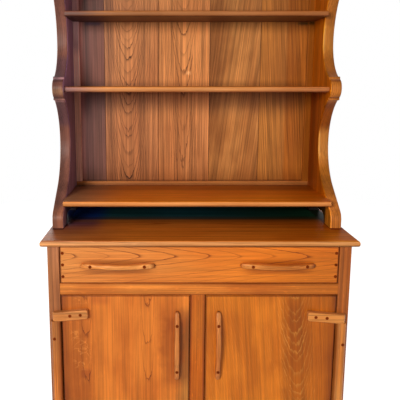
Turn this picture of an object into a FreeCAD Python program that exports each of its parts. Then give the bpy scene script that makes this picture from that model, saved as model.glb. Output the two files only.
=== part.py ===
import FreeCAD, Part
import math
import os
import re
import Sketcher
from FreeCAD import Placement, Rotation, Vector

# Welsh dresser: a base with one drawer and two board doors, and a plate rack standing on its counter.
# Millimetres, +Z up, the front faces -Y, origin on the floor under the middle of the dresser.

SIZES = {
    # counter and case
    "counter_width": 1000,
    "counter_height": 850,
    "counter_thickness": 20,
    "counter_overhang": 20,
    "counter_nose_radius": 8,
    "case_width": 964,
    "case_depth": 463,
    "post_width": 38,
    "post_arris_radius": 3,
    "frame_setback": 0.8,
    # rails, stile and panels of the case
    "tenon_length": 12,
    "tenon_thickness": 10,
    "tenon_shoulder": 5,
    "drawer_opening": 127,
    "drawer_rail_height": 36,
    "bottom_rail_height": 36,
    "bottom_rail_lift": 66,
    "rail_depth": 38,
    "rail_arris_radius": 1.5,
    "stile_width": 47,
    "stile_offset": 3.5,
    "stile_thickness": 19.5,
    "side_rail_thickness": 20,
    "side_rail_setback": 3,
    "top_rail_height": 60,
    "side_panel_thickness": 10,
    "back_panel_thickness": 12,
    "floor_board_thickness": 18,
    "cupboard_shelf_thickness": 18,
    "cupboard_shelf_height": 380,
    "cupboard_shelf_setback": 60,
    "bearer_width": 24,
    "bearer_height": 20,
    # drawer
    "front_gap": 3,
    "board_arris_radius": 2,
    "drawer_front_thickness": 20,
    "drawer_side_thickness": 15,
    "drawer_side_drop": 8,
    "drawer_length": 380,
    "drawer_back_thickness": 15,
    "drawer_bottom_thickness": 8,
    "drawer_bottom_lift": 9,
    "slide_clearance": 0.3,
    "runner_width": 44,
    "runner_height": 20,
    "guide_height": 16,
    "guide_clearance": 0.5,
    "drawer_stop_width": 40,
    "drawer_stop_height": 6,
    "drawer_stop_place_share": 0.45,
    "corner_peg_spacing": 38.5,
    "corner_peg_length": 45,
    # doors and their wooden hinges
    "door_thickness": 20,
    "door_stop_width": 80,
    "door_stop_thickness": 18,
    "pin_radius": 4.5,
    "pin_clearance": 0.05,
    "pin_inset": 23,
    "pin_socket": 25,
    "left_strap_length": 104,
    "right_strap_length": 112,
    "strap_thickness": 19,
    "strap_height": 30,
    "strap_tip_height": 30,
    "strap_tip_rise": 9,
    "strap_tip_radius": 7,
    "strap_bore": 24,
    "strap_edge_radius": 2.5,
    "left_strap_place": 65,
    "right_strap_place": 72.5,
    "strap_near_peg_share": 0.455,
    "strap_far_peg_share": 0.773,
    "batten_width": 30,
    "batten_depth": 19,
    "batten_edge_radius": 11,
    "batten_clearance": 0.3,
    "left_batten_peg_place": 59,
    "right_batten_peg_place": 71.5,
    "batten_peg_offset": 4,
    # carved pulls and their pegs
    "handle_reach": 30,
    "pull_length": 236,
    "pull_waist_height": 17,
    "pull_tip_height": 18,
    "pull_sag": 1,
    "pull_gap": 12,
    "pull_gap_length": 116,
    "pull_tip_reach": 11,
    "pull_edge_radius": 4,
    "left_pull_place_share": 0.585,
    "right_pull_place_share": 0.5625,
    "drawer_pull_peg_spacing": 170,
    "left_pull_peg_offset": 1,
    "right_pull_peg_offset": 5,
    "door_pull_inset": 40,
    "door_pull_drop": 51,
    "door_pull_peg_spacing": 159,
    "door_pull_peg_drop": 5,
    "peg_radius": 4,
    "peg_clearance": 0.05,
    "peg_seat": 15,
    "peg_proud": 0.6,
    # plate rack
    "rack_width": 980,
    "rack_side_thickness": 38,
    "rack_side_edge_radius": 5,
    "rack_height": 960,
    "rack_top_thickness": 20,
    "rack_top_overhang": 10,
    "foot_depth": 134,
    "foot_rise": 25.6,
    "foot_radius": 40,
    "foot_cut_start": 208,
    "foot_cut_end": 398,
    "foot_cut_height": 34,
    "foot_cut_radius": 26,
    "lower_waist_depth": 319,
    "lower_waist_height": 278,
    "lower_scallop_radius": 190,
    "bump_depth": 200,
    "bump_height": 467,
    "bump_radius": 36,
    "upper_waist_depth": 318,
    "upper_waist_height": 633,
    "upper_scallop_radius": 235,
    "head_depth": 185,
    "head_radius": 40,
    "bead_groove_radius": 3,
    "astragal_radius": 5.5,
    "astragal_sink": 2,
    "rack_shelf_thickness": 18.5,
    "rack_shelf_nose_radius": 6,
    "bottom_shelf_height": 73,
    "bottom_shelf_depth": 134,
    "middle_shelf_height": 455,
    "middle_shelf_depth": 217,
    "top_shelf_height": 712,
    "top_shelf_depth": 268,
    "housing_depth": 10,
    "housing_setback": 80,
    "rebate_width": 10,
    "back_board_thickness": 13,
    "back_board_seam": 0.8,
    "back_board_lap": 8,
    "first_back_board_width": 125,
    "second_back_board_width": 205,
    "third_back_board_width": 195,
    "fourth_back_board_width": 192,
    "bead_height": 15,
    "bead_depth": 12,
    "bead_edge_radius": 4,
    "corner_bead_width": 22,
    # dowels between posts, counter and rack
    "dowel_radius": 5,
    "dowel_seat": 20,
    "dowel_counter_seat": 8,
    "dowel_clearance": 0.05,
    "front_dowel_place": 165,
    "rear_dowel_place": 418,
    # how far a cutting shape runs past what it cuts
    "overrun": 5,
    # two places closer than this count as one
    "same_place": 0.01,
}

doc = FreeCAD.newDocument("welsh_dresser")
sheet = doc.addObject("Spreadsheet::Sheet", "sizes")
for row, (alias, length) in enumerate(SIZES.items(), start=1):
    sheet.set(f"A{row}", alias)
    sheet.set(f"B{row}", str(length))
    sheet.setAlias(f"B{row}", alias)
doc.recompute()

nodes = []


def size(alias):
    """The number that the sheet holds under this alias."""
    return float(sheet.get(alias))


def bind(item, prop, formula):
    """Tie a property to a formula in the sheet's aliases."""
    item.setExpression(prop, re.sub(r"\b([a-z][a-z_]*)\b(?!\()", r"sizes.\1", formula))


def put(item, place):
    """Tie the three coordinates of an object's base point."""
    for axis, formula in zip("xyz", place):
        bind(item, f"Placement.Base.{axis}", formula)


def node(item, label):
    """Make an object one of the dresser's pieces, written to its own file."""
    item.Label = label
    nodes.append(item)
    return item


def board(name, across, along, up):
    """A plain board between a first and a last place on X, Y and Z."""
    box = doc.addObject("Part::Box", name)
    for prop, (first, last) in zip(("Length", "Width", "Height"), (across, along, up)):
        bind(box, prop, f"({last}) - ({first})")
    put(box, (across[0], along[0], up[0]))
    return box


def edges_at(shape, *corners):
    """Names of the edges that run along the given corners of a shape, such as -y+z."""
    bounds = shape.BoundBox
    extremes = {
        "-x": ("x", bounds.XMin), "+x": ("x", bounds.XMax),
        "-y": ("y", bounds.YMin), "+y": ("y", bounds.YMax),
        "-z": ("z", bounds.ZMin), "+z": ("z", bounds.ZMax),
    }
    found = []
    for number, edge in enumerate(shape.Edges, start=1):
        middle = edge.BoundBox.Center
        for corner in corners:
            sides = (extremes[corner[:2]], extremes[corner[2:]])
            if all(math.isclose(getattr(middle, axis), value, abs_tol=size("same_place"))
                   for axis, value in sides):
                found.append(f"Edge{number}")
    return found


def fillet(body, edge_names, radius):
    """Round edges of a body's last feature."""
    base = body.Tip
    rounding = body.newObject("PartDesign::Fillet", f"{body.Name}_round")
    rounding.Base = (base, edge_names)
    bind(rounding, "Radius", radius)
    doc.recompute()
    return rounding


def rounded_board(name, across, along, up, radius, *corners):
    """A board whose named corners are rounded."""
    body = doc.addObject("PartDesign::Body", name)
    block = body.newObject("PartDesign::AdditiveBox", f"{name}_block")
    for prop, (first, last) in zip(("Length", "Width", "Height"), (across, along, up)):
        bind(block, prop, f"({last}) - ({first})")
    put(body, (across[0], along[0], up[0]))
    doc.recompute()
    fillet(body, edges_at(block.Shape, *corners), radius)
    return body


def rod(name, axis, centre, first, last, radius):
    """A round rod along Y or Z; centre holds the places on the two other axes, in X, Y, Z order."""
    turns = {"y": Rotation(Vector(1, 0, 0), -90), "z": Rotation()}
    place = list(centre)
    place.insert("xyz".index(axis), first)
    cylinder = doc.addObject("Part::Cylinder", name)
    cylinder.Placement = Placement(Vector(), turns[axis])
    bind(cylinder, "Radius", radius)
    bind(cylinder, "Height", f"({last}) - ({first})")
    put(cylinder, place)
    return cylinder


def group(name, members):
    """Several separate solids under one name."""
    compound = doc.addObject("Part::Compound", name)
    compound.Links = members
    return compound


def cut(name, base, tools):
    """A piece with the shapes of the tools taken out of it."""
    result = doc.addObject("Part::Cut", name)
    result.Base = base
    result.Tool = tools[0] if len(tools) == 1 else group(f"{name}_tools", tools)
    return result


def join(name, members):
    """One piece made of several shapes that touch."""
    result = doc.addObject("Part::MultiFuse", name)
    result.Shapes = members
    result.Refine = True
    return result


def span(hand, inner, outer):
    """Places on X of something that lies between two distances from the middle, on one side."""
    return (inner, outer) if hand == "right" else (f"-({outer})", f"-({inner})")


def on(hand, distance):
    """A place on X at a distance from the middle, on one side."""
    return distance if hand == "right" else f"-({distance})"


def sketch_on(body, name, plane):
    """An empty sketch on one of a body's own planes."""
    sketch = body.newObject("Sketcher::SketchObject", name)
    origin = next(part for part in body.Origin.OriginFeatures if part.Role == plane)
    sketch.AttachmentSupport = (origin, "")
    sketch.MapMode = "FlatFace"
    return sketch


def draw(body, name, plane, edges):
    """A closed outline of lines and arcs, each starting where the last one ends."""
    sketch = sketch_on(body, name, plane)
    for edge in edges:
        sketch.addGeometry(edge, False)
    for number in range(len(edges)):
        following = (number + 1) % len(edges)
        ends = []
        for index in (number, following):
            ends.append([sketch.getPoint(index, position) for position in (1, 2)])
        closest = min(((a, b) for a in (0, 1) for b in (0, 1)),
                      key=lambda pair: ends[0][pair[0]].distanceToPoint(ends[1][pair[1]]))
        sketch.addConstraint(
            Sketcher.Constraint("Coincident", number, closest[0] + 1, following, closest[1] + 1))
    return sketch


def fix_radius(sketch, edge_number, formula):
    """Tie the radius of one arc of a sketch."""
    radius = sketch.Geometry[edge_number].Radius
    constraint = sketch.addConstraint(Sketcher.Constraint("Radius", edge_number, radius))
    bind(sketch, f"Constraints[{constraint}]", formula)


def line(first, last):
    return Part.LineSegment(first, last)


def arc(first, middle, last):
    return Part.Arc(first, middle, last)


def pad(body, sketch, length):
    """Extrude a sketch out of its plane."""
    feature = body.newObject("PartDesign::Pad", f"{sketch.Name}_pad")
    feature.Profile = sketch
    bind(feature, "Length", length)
    doc.recompute()
    return feature


def pocket(body, sketch):
    """Cut a sketch right through a body, both ways."""
    before = body.Shape.Volume
    feature = body.newObject("PartDesign::Pocket", f"{sketch.Name}_pocket")
    feature.Profile = sketch
    feature.Type = "ThroughAll"
    feature.Midplane = True
    doc.recompute()
    if not body.Shape.Volume < before:
        raise RuntimeError(f"{sketch.Name} cuts nothing")
    return feature


# Places that several pieces share
FACE = "((handle_reach - case_depth) / 2)"
BACK = "((handle_reach + case_depth) / 2)"
FRAME_FRONT = f"({FACE} + frame_setback)"
POST_BACK = f"({FRAME_FRONT} + post_width)"
REAR_POST_FRONT = f"({BACK} - post_width)"
BACK_PANEL_FRONT = f"({BACK} - back_panel_thickness)"
CASE_HALF = "(case_width / 2)"
POST_INNER = f"({CASE_HALF} - post_width)"
CASE_TOP = "(counter_height - counter_thickness)"
DRAWER_FLOOR = f"({CASE_TOP} - drawer_opening)"
DOOR_HEAD = f"({DRAWER_FLOOR} - drawer_rail_height)"
DOOR_SILL = "(bottom_rail_lift + bottom_rail_height)"
SIDE_RAIL_OUTER = f"({CASE_HALF} - side_rail_setback)"
SIDE_RAIL_INNER = f"({SIDE_RAIL_OUTER} - side_rail_thickness)"
PANEL_INNER = f"({SIDE_RAIL_INNER} + (side_rail_thickness - side_panel_thickness) / 2)"
HANDS = ("left", "right")
PEG_HOLE = "(peg_radius + peg_clearance)"
DOWEL_HOLE = "(dowel_radius + dowel_clearance)"

# Rails with their tenons: the same tenon is joined to the rail and cut out of the post
mortises = {}


def tenons(name, along, across, up, first, last, ends):
    """Tenons at both ends of a rail that runs along X or Y between two places; across is its thickness."""
    middle = f"(({across[0]}) + ({across[1]})) / 2"
    thick = (f"{middle} - tenon_thickness / 2", f"{middle} + tenon_thickness / 2")
    high = (f"{up[0]} + tenon_shoulder", f"{up[1]} - tenon_shoulder")
    made = []
    reaches = ((f"{first} - tenon_length", first), (last, f"{last} + tenon_length"))
    for end, (start, stop) in zip(ends, reaches):
        places = ((start, stop), thick) if along == "x" else (thick, (start, stop))
        tenon = board(f"{name}_tenon_{end}", *places, high)
        mortises.setdefault(end, []).append(tenon)
        made.append(tenon)
    return made


def front_rail(label, up):
    """A rail across the front of the case, flush with the posts."""
    deep = (FRAME_FRONT, f"{FRAME_FRONT} + rail_depth")
    body = rounded_board(f"{label}_bar", (f"-{POST_INNER}", POST_INNER), deep, up,
                         "rail_arris_radius", "-y+z", "-y-z")
    ends = tenons(label, "x", deep, up, f"-{POST_INNER}", POST_INNER, ("front_left", "front_right"))
    return node(join(label, [body, *ends]), label)


def rear_rail(label, up):
    """A rail across the back of the case, in front of the back panel."""
    deep = (REAR_POST_FRONT, BACK_PANEL_FRONT)
    bar = board(f"{label}_bar", (f"-{POST_INNER}", POST_INNER), deep, up)
    ends = tenons(label, "x", deep, up, f"-{POST_INNER}", POST_INNER, ("rear_left", "rear_right"))
    return node(join(label, [bar, *ends]), label)


def side_rail(label, hand, up):
    """A rail at the side of the case, from front post to rear post."""
    across = span(hand, SIDE_RAIL_INNER, SIDE_RAIL_OUTER)
    bar = board(f"{label}_bar", across, (POST_BACK, REAR_POST_FRONT), up)
    ends = tenons(label, "y", across, up, POST_BACK, REAR_POST_FRONT, (f"front_{hand}", f"rear_{hand}"))
    return node(join(label, [bar, *ends]), label)


LOW_RAIL = ("bottom_rail_lift", DOOR_SILL)
HIGH_RAIL = (f"{CASE_TOP} - top_rail_height", CASE_TOP)
front_rail("drawer_rail", (DOOR_HEAD, DRAWER_FLOOR))
front_rail("bottom_rail", LOW_RAIL)
rear_rail("rear_top_rail", HIGH_RAIL)
rear_rail("rear_bottom_rail", LOW_RAIL)
for hand in HANDS:
    side_rail(f"side_top_rail_{hand}", hand, HIGH_RAIL)
    side_rail(f"side_bottom_rail_{hand}", hand, LOW_RAIL)
    side_panel = board(f"side_panel_{hand}", span(hand, PANEL_INNER, f"{PANEL_INNER} + side_panel_thickness"),
                       (POST_BACK, REAR_POST_FRONT), (DOOR_SILL, f"{CASE_TOP} - top_rail_height"))
    node(side_panel, f"side_panel_{hand}")

STILE_BACK = f"({FRAME_FRONT} + stile_thickness)"
STILE_INNER = {"left": "(stile_width / 2 + stile_offset)", "right": "(stile_width / 2 - stile_offset)"}
stile = rounded_board("centre_stile", (f"-{STILE_INNER['left']}", STILE_INNER["right"]),
                      (FRAME_FRONT, STILE_BACK), (DOOR_SILL, DOOR_HEAD),
                      "rail_arris_radius", "-x-y", "+x-y")
node(stile, "centre_stile")
door_stop = board("door_stop", ("-door_stop_width / 2 - stile_offset", "door_stop_width / 2 - stile_offset"),
                  (STILE_BACK, f"{STILE_BACK} + door_stop_thickness"),
                  (DOOR_SILL, DOOR_HEAD))
node(door_stop, "door_stop")

# Dowels: one from each post into the counter, two from each rack side into the counter
RACK_HALF = "(rack_width / 2)"
RACK_INNER = f"({RACK_HALF} - rack_side_thickness)"
POST_MIDDLE = f"({CASE_HALF} - post_width / 2)"
RACK_SIDE_MIDDLE = f"({RACK_HALF} - rack_side_thickness / 2)"
POST_SEATS = (f"{CASE_TOP} - dowel_seat", f"{CASE_TOP} + dowel_counter_seat")
RACK_SEATS = ("counter_height - dowel_counter_seat", "counter_height + dowel_seat")
DOWEL_PLACES = {
    "front_post": (POST_MIDDLE, f"{FRAME_FRONT} + post_width / 2", POST_SEATS),
    "rear_post": (POST_MIDDLE, f"{BACK} - post_width / 2", POST_SEATS),
    "rack_front": (RACK_SIDE_MIDDLE, f"{FACE} + front_dowel_place", RACK_SEATS),
    "rack_rear": (RACK_SIDE_MIDDLE, f"{FACE} + rear_dowel_place", RACK_SEATS),
}
dowels = []
dowel_holes = {}
for place, (distance, deep, seats) in DOWEL_PLACES.items():
    for hand in HANDS:
        centre = (on(hand, distance), deep)
        dowels.append(rod(f"dowel_{place}_{hand}", "z", centre, *seats, "dowel_radius"))
        dowel_holes[place, hand] = rod(f"dowel_hole_{place}_{hand}", "z", centre, *seats, DOWEL_HOLE)
node(group("locating_dowels", dowels), "locating_dowels")

# Posts, front ones with the peg holes of the hinge battens
PIN_X = f"({CASE_HALF} - pin_inset)"
PIN_Y = f"({FACE} - strap_thickness / 2)"
DOOR_TOP = f"({DOOR_HEAD} - front_gap)"
DOOR_FOOT = f"({DOOR_SILL} + front_gap)"
UPPER_STRAP = {hand: f"({DOOR_TOP} - {hand}_strap_place)" for hand in HANDS}
LOWER_STRAP = {hand: f"({DOOR_FOOT} + {hand}_strap_place)" for hand in HANDS}
BATTEN_TOP = {hand: f"({UPPER_STRAP[hand]} - strap_height / 2 - batten_clearance)" for hand in HANDS}
BATTEN_FOOT = {hand: f"({LOWER_STRAP[hand]} + strap_height / 2 + batten_clearance)" for hand in HANDS}
batten_pegs = []
batten_holes = {}
for hand in HANDS:
    batten_holes[hand] = []
    peg_heights = (f"{BATTEN_TOP[hand]} - {hand}_batten_peg_place",
                   f"{BATTEN_FOOT[hand]} + {hand}_batten_peg_place")
    for number, height in enumerate(peg_heights):
        centre = (on(hand, f"{PIN_X} + batten_peg_offset"), height)
        front = f"{FRAME_FRONT} - batten_depth"
        batten_pegs.append(rod(f"batten_peg_{hand}_{number}", "y", centre, f"{front} - peg_proud",
                               f"{FRAME_FRONT} + peg_seat", "peg_radius"))
        batten_holes[hand].append(rod(f"batten_hole_{hand}_{number}", "y", centre, f"{front} - overrun",
                                      f"{FRAME_FRONT} + peg_seat", PEG_HOLE))
node(group("batten_pegs", batten_pegs), "batten_pegs")

for hand in HANDS:
    for end, deep in (("front", (FRAME_FRONT, POST_BACK)), ("rear", (REAR_POST_FRONT, BACK))):
        label = f"{end}_post_{hand}"
        outside = "-x" if hand == "left" else "+x"
        corners = [f"{outside}-y", f"{outside}+y"]
        if end == "front":
            corners.append(("+x" if hand == "left" else "-x") + "-y")
        post = rounded_board(f"{label}_bar", span(hand, POST_INNER, CASE_HALF), deep, ("0", CASE_TOP),
                             "post_arris_radius", *corners)
        tools = mortises[f"{end}_{hand}"] + [dowel_holes[f"{end}_post", hand]]
        if end == "front":
            tools = tools + batten_holes[hand]
        node(cut(label, post, tools), label)

# Inside of the case
node(board("base_back_panel", (f"-{POST_INNER}", POST_INNER), (BACK_PANEL_FRONT, BACK),
           ("bottom_rail_lift", CASE_TOP)), "base_back_panel")
node(board("cupboard_floor", (f"-{SIDE_RAIL_INNER}", SIDE_RAIL_INNER), (POST_BACK, REAR_POST_FRONT),
           (f"{DOOR_SILL} - floor_board_thickness", DOOR_SILL)), "cupboard_floor")
cupboard_shelf = rounded_board("cupboard_shelf", (f"-{PANEL_INNER}", PANEL_INNER),
                               (f"{FACE} + cupboard_shelf_setback", REAR_POST_FRONT),
                               ("cupboard_shelf_height", "cupboard_shelf_height + cupboard_shelf_thickness"),
                               "board_arris_radius", "-y+z", "-y-z")
node(cupboard_shelf, "cupboard_shelf")

INSIDE = (POST_BACK, REAR_POST_FRONT)
DRAWER_HALF = f"({POST_INNER} - front_gap)"
DRAWER_STOP = f"({DRAWER_HALF} * drawer_stop_place_share)"
IN_PAIRS = {
    "shelf_bearers": (f"{PANEL_INNER} - bearer_width", PANEL_INNER, INSIDE,
                      ("cupboard_shelf_height - bearer_height", "cupboard_shelf_height")),
    "drawer_runners": (f"{PANEL_INNER} - runner_width", PANEL_INNER, INSIDE,
                       (f"{DRAWER_FLOOR} - runner_height", DRAWER_FLOOR)),
    "drawer_guides": (f"{DRAWER_HALF} + guide_clearance", PANEL_INNER, INSIDE,
                      (DRAWER_FLOOR, f"{DRAWER_FLOOR} + guide_height")),
    "drawer_stops": (f"{DRAWER_STOP} - drawer_stop_width / 2", f"{DRAWER_STOP} + drawer_stop_width / 2",
                     (f"{FACE} + drawer_front_thickness + slide_clearance", f"{FRAME_FRONT} + rail_depth"),
                     (DRAWER_FLOOR, f"{DRAWER_FLOOR} + drawer_stop_height")),
}
for label, (inner, outer, deep, up) in IN_PAIRS.items():
    pair = [board(f"{label}_{hand}", span(hand, inner, outer), deep, up) for hand in HANDS]
    node(group(label, pair), label)

# Counter, nosed at the front and at both ends
NOSED_CORNERS = ("-y+z", "-y-z", "-x+z", "-x-z", "+x+z", "+x-z")
counter = rounded_board("counter_board", ("-counter_width / 2", "counter_width / 2"),
                        (f"{FACE} - counter_overhang", BACK), (CASE_TOP, "counter_height"),
                        "counter_nose_radius", *NOSED_CORNERS)
node(cut("counter_top", counter, list(dowel_holes.values())), "counter_top")


def toward(first, last, distance):
    """The point at a distance from the first point on the way to the last."""
    return first + (last - first).normalize() * distance


# Carved pulls: sawn to one outline from the front, to another from above, then rounded over
def tip_touch(cap, tip, middle):
    """Where the arc that passes a pull's middle at this height runs smoothly into the round of its tip."""
    dip = tip - middle
    centre = Vector(0, (cap ** 2 - dip ** 2) / (2 * dip), 0)
    return toward(Vector(cap, 0, 0), centre, math.copysign(tip, dip))


def pull_shape(name):
    """A pull along X with its feet on the plane Y = 0, bowed out towards -Y and sagging at the middle."""
    half = size("pull_length") / 2
    tip = size("pull_tip_height") / 2
    waist = size("pull_waist_height") / 2
    sag = size("pull_sag")
    reach = size("handle_reach")
    bow_rise = reach - size("pull_tip_reach")
    gap = size("pull_gap")
    gap_half = size("pull_gap_length") / 2
    overrun = size("overrun")
    high = tip_touch(half - tip, tip, waist - sag)
    low = tip_touch(half - tip, tip, waist + sag)
    body = doc.addObject("PartDesign::Body", name)
    front = draw(body, f"{name}_front", "XZ_Plane", [
        arc(Vector(-high.x, high.y, 0), Vector(0, waist - sag, 0), high),
        arc(high, Vector(half, 0, 0), Vector(low.x, -low.y, 0)),
        arc(Vector(low.x, -low.y, 0), Vector(0, -waist - sag, 0), Vector(-low.x, -low.y, 0)),
        arc(Vector(-low.x, -low.y, 0), Vector(-half, 0, 0), Vector(-high.x, high.y, 0)),
    ])
    fix_radius(front, 1, "pull_tip_height / 2")
    fix_radius(front, 3, "pull_tip_height / 2")
    pad(body, front, "handle_reach")
    pocket(body, draw(body, f"{name}_gap", "XY_Plane", [
        arc(Vector(-gap_half, 0, 0), Vector(0, -gap, 0), Vector(gap_half, 0, 0)),
        line(Vector(gap_half, 0, 0), Vector(gap_half, overrun, 0)),
        line(Vector(gap_half, overrun, 0), Vector(-gap_half, overrun, 0)),
        line(Vector(-gap_half, overrun, 0), Vector(-gap_half, 0, 0)),
    ]))
    outer = half + overrun
    bow_radius = (half ** 2 + bow_rise ** 2) / (2 * bow_rise)
    outer_reach = reach - bow_radius + math.sqrt(bow_radius ** 2 - outer ** 2)
    pocket(body, draw(body, f"{name}_bow", "XY_Plane", [
        arc(Vector(-outer, -outer_reach, 0), Vector(0, -reach, 0), Vector(outer, -outer_reach, 0)),
        line(Vector(outer, -outer_reach, 0), Vector(outer, -reach - overrun, 0)),
        line(Vector(outer, -reach - overrun, 0), Vector(-outer, -reach - overrun, 0)),
        line(Vector(-outer, -reach - overrun, 0), Vector(-outer, -outer_reach, 0)),
    ]))
    along_front = [f"Edge{number}" for number, edge in enumerate(body.Shape.Edges, start=1)
                   if edge.BoundBox.YMax < -size("same_place") and edge.BoundBox.XLength > size("same_place")]
    fillet(body, along_front, "pull_edge_radius")
    return body


def place_pull(body, place, upright=False):
    """Stand a pull on the drawer front or a door, lengthwise or upright."""
    if upright:
        body.Placement = Placement(Vector(), Rotation(Vector(0, 1, 0), -90))
    put(body, place)


def pull_front(distance):
    """Place on Y of a pull's bowed front at a distance from its middle."""
    rise = "(handle_reach - pull_tip_reach)"
    bow_radius = f"((pull_length ^ 2 / 4 + {rise} ^ 2) / (2 * {rise}))"
    return f"({FACE} - handle_reach + {bow_radius} - sqrt({bow_radius} ^ 2 - ({distance}) ^ 2))"


def peg_row(name, places, front, end):
    """Pegs at places on X and Z, from just proud of a front to their end in the board behind."""
    return [rod(f"{name}_peg_{number}", "y", place, f"{front} - peg_proud", end, "peg_radius")
            for number, place in enumerate(places)]


def peg_holes(name, places, end):
    """Holes for pegs, open to the front."""
    return [rod(f"{name}_hole_{number}", "y", place, f"{FACE} - handle_reach - overrun", end, PEG_HOLE)
            for number, place in enumerate(places)]


PEG_END = f"{FACE} + peg_seat"

# Drawer
DRAWER_TOP = f"({CASE_TOP} - front_gap)"
DRAWER_FOOT = f"({DRAWER_FLOOR} + front_gap)"
DRAWER_MIDDLE = f"(({DRAWER_TOP} + {DRAWER_FOOT}) / 2)"
DRAWER_INNER = f"({DRAWER_HALF} - drawer_side_thickness)"
DRAWER_FRONT_BACK = f"({FACE} + drawer_front_thickness)"
DRAWER_END = f"({DRAWER_FRONT_BACK} + drawer_length)"
SIDE_FOOT = f"({DRAWER_FLOOR} + slide_clearance)"
SIDE_TOP = f"({DRAWER_TOP} - drawer_side_drop)"
BOTTOM_FOOT = f"({SIDE_FOOT} + drawer_bottom_lift)"
BOTTOM_TOP = f"({BOTTOM_FOOT} + drawer_bottom_thickness)"
FRONT_CORNERS = ("-y+z", "-y-z", "-x-y", "+x-y")

corner_pegs = []
front_holes = []
for hand in HANDS:
    middle = on(hand, f"{DRAWER_HALF} - drawer_side_thickness / 2")
    places = [(middle, height) for height in (f"{DRAWER_MIDDLE} - corner_peg_spacing", DRAWER_MIDDLE,
                                              f"{DRAWER_MIDDLE} + corner_peg_spacing")]
    end = f"{FACE} + corner_peg_length"
    corner_pegs += peg_row(f"drawer_corner_{hand}", places, FACE, end)
    holes = peg_holes(f"drawer_corner_{hand}", places, end)
    front_holes += holes
    side = board(f"drawer_side_{hand}_board", span(hand, DRAWER_INNER, DRAWER_HALF),
                 (DRAWER_FRONT_BACK, DRAWER_END), (SIDE_FOOT, SIDE_TOP))
    node(cut(f"drawer_side_{hand}", side, holes), f"drawer_side_{hand}")
node(group("drawer_corner_pegs", corner_pegs), "drawer_corner_pegs")

drawer_pull_pegs = []
for hand in HANDS:
    middle = on(hand, f"{DRAWER_HALF} * {hand}_pull_place_share")
    places = []
    for sign in "-+":
        distance = on(hand, f"{hand}_pull_peg_offset") + f" {sign} drawer_pull_peg_spacing / 2"
        place = (f"{middle} + {distance}", DRAWER_MIDDLE)
        name = f"drawer_pull_{hand}_{len(places)}"
        drawer_pull_pegs += peg_row(name, [place], pull_front(distance), PEG_END)
        places.append(place)
    holes = peg_holes(f"drawer_pull_{hand}", places, PEG_END)
    front_holes += holes
    pull = pull_shape(f"drawer_pull_{hand}_bar")
    place_pull(pull, (middle, FACE, DRAWER_MIDDLE))
    node(cut(f"drawer_pull_{hand}", pull, holes), f"drawer_pull_{hand}")
node(group("drawer_pull_pegs", drawer_pull_pegs), "drawer_pull_pegs")

drawer_front = rounded_board("drawer_front_board", (f"-{DRAWER_HALF}", DRAWER_HALF),
                             (FACE, DRAWER_FRONT_BACK), (DRAWER_FOOT, DRAWER_TOP),
                             "board_arris_radius", *FRONT_CORNERS)
node(cut("drawer_front", drawer_front, front_holes), "drawer_front")
node(board("drawer_back", (f"-{DRAWER_INNER}", DRAWER_INNER),
           (f"{DRAWER_END} - drawer_back_thickness", DRAWER_END), (BOTTOM_TOP, SIDE_TOP)), "drawer_back")
node(board("drawer_bottom", (f"-{DRAWER_INNER}", DRAWER_INNER), (DRAWER_FRONT_BACK, DRAWER_END),
           (BOTTOM_FOOT, BOTTOM_TOP)), "drawer_bottom")


# Doors with their wooden strap hinges
def strap_shape(name, length, inward, upward):
    """A strap on the plane Y = 0 with its knuckle round the pin at X = 0; inward and upward are signs."""
    knuckle = size("strap_thickness") / 2
    half = size("strap_height") / 2
    rise = size("strap_tip_rise")
    tip_half = size("strap_tip_height") / 2
    profile = ((-knuckle, -half), (knuckle, -half), (length, rise - tip_half), (length, rise + tip_half),
               (knuckle, half), (-knuckle, half))
    corners = [Vector(inward * x, upward * z, 0) for x, z in profile]
    body = doc.addObject("PartDesign::Body", name)
    outline = draw(body, f"{name}_outline", "XZ_Plane",
                   [line(first, last) for first, last in zip(corners, corners[1:] + corners[:1])])
    pad(body, outline, "strap_thickness")
    inner_side, outer_side = ("+x", "-x") if inward > 0 else ("-x", "+x")

    def upright_edges(side, along):
        bounds = body.Shape.BoundBox
        limit = bounds.XMax if side == "+x" else bounds.XMin
        return [f"Edge{number}" for number, edge in enumerate(body.Shape.Edges, start=1)
                if math.isclose(edge.BoundBox.Center.x, limit, abs_tol=size("same_place"))
                and getattr(edge.BoundBox, f"{along}Length") > knuckle]

    fillet(body, upright_edges(outer_side, "Z"), "strap_thickness / 2 - same_place")
    fillet(body, upright_edges(inner_side, "Y"), "strap_tip_radius")
    front = body.Shape.BoundBox.YMin
    front_edges = [f"Edge{number}" for number, edge in enumerate(body.Shape.Edges, start=1)
                   if math.isclose(edge.BoundBox.YMax, front, abs_tol=size("same_place"))
                   and edge.BoundBox.XLength > knuckle]
    fillet(body, front_edges, "strap_edge_radius")
    return body


DOOR_INNER = {hand: f"({edge} + front_gap)" for hand, edge in STILE_INNER.items()}
DOOR_OUTER = f"({POST_INNER} - front_gap)"
STRAP_LEVELS = (("upper", UPPER_STRAP, BATTEN_TOP, 1), ("lower", LOWER_STRAP, BATTEN_FOOT, -1))
STRAP_PEGS = ("strap_near_peg_share", "strap_far_peg_share")
hinge_pins = []


def pin_rod(name, centre, upward, start, stop, radius):
    """A rod along a hinge axis that starts in the batten and points away from it, up or down."""
    first, last = (start, stop) if upward > 0 else (stop, start)
    return rod(name, "z", centre, first, last, radius)


def hinge_batten(hand, sockets):
    """The rounded batten pegged to the front post, with a socket for a hinge pin in each end."""
    label = f"hinge_batten_{hand}"
    half = "batten_width / 2"
    bar = rounded_board(f"{label}_bar", span(hand, f"{PIN_X} - {half}", f"{PIN_X} + {half}"),
                        (f"{FRAME_FRONT} - batten_depth", FRAME_FRONT), (BATTEN_FOOT[hand], BATTEN_TOP[hand]),
                        "batten_edge_radius", "-x-y", "+x-y")
    node(cut(label, bar, sockets + batten_holes[hand]), label)


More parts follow.
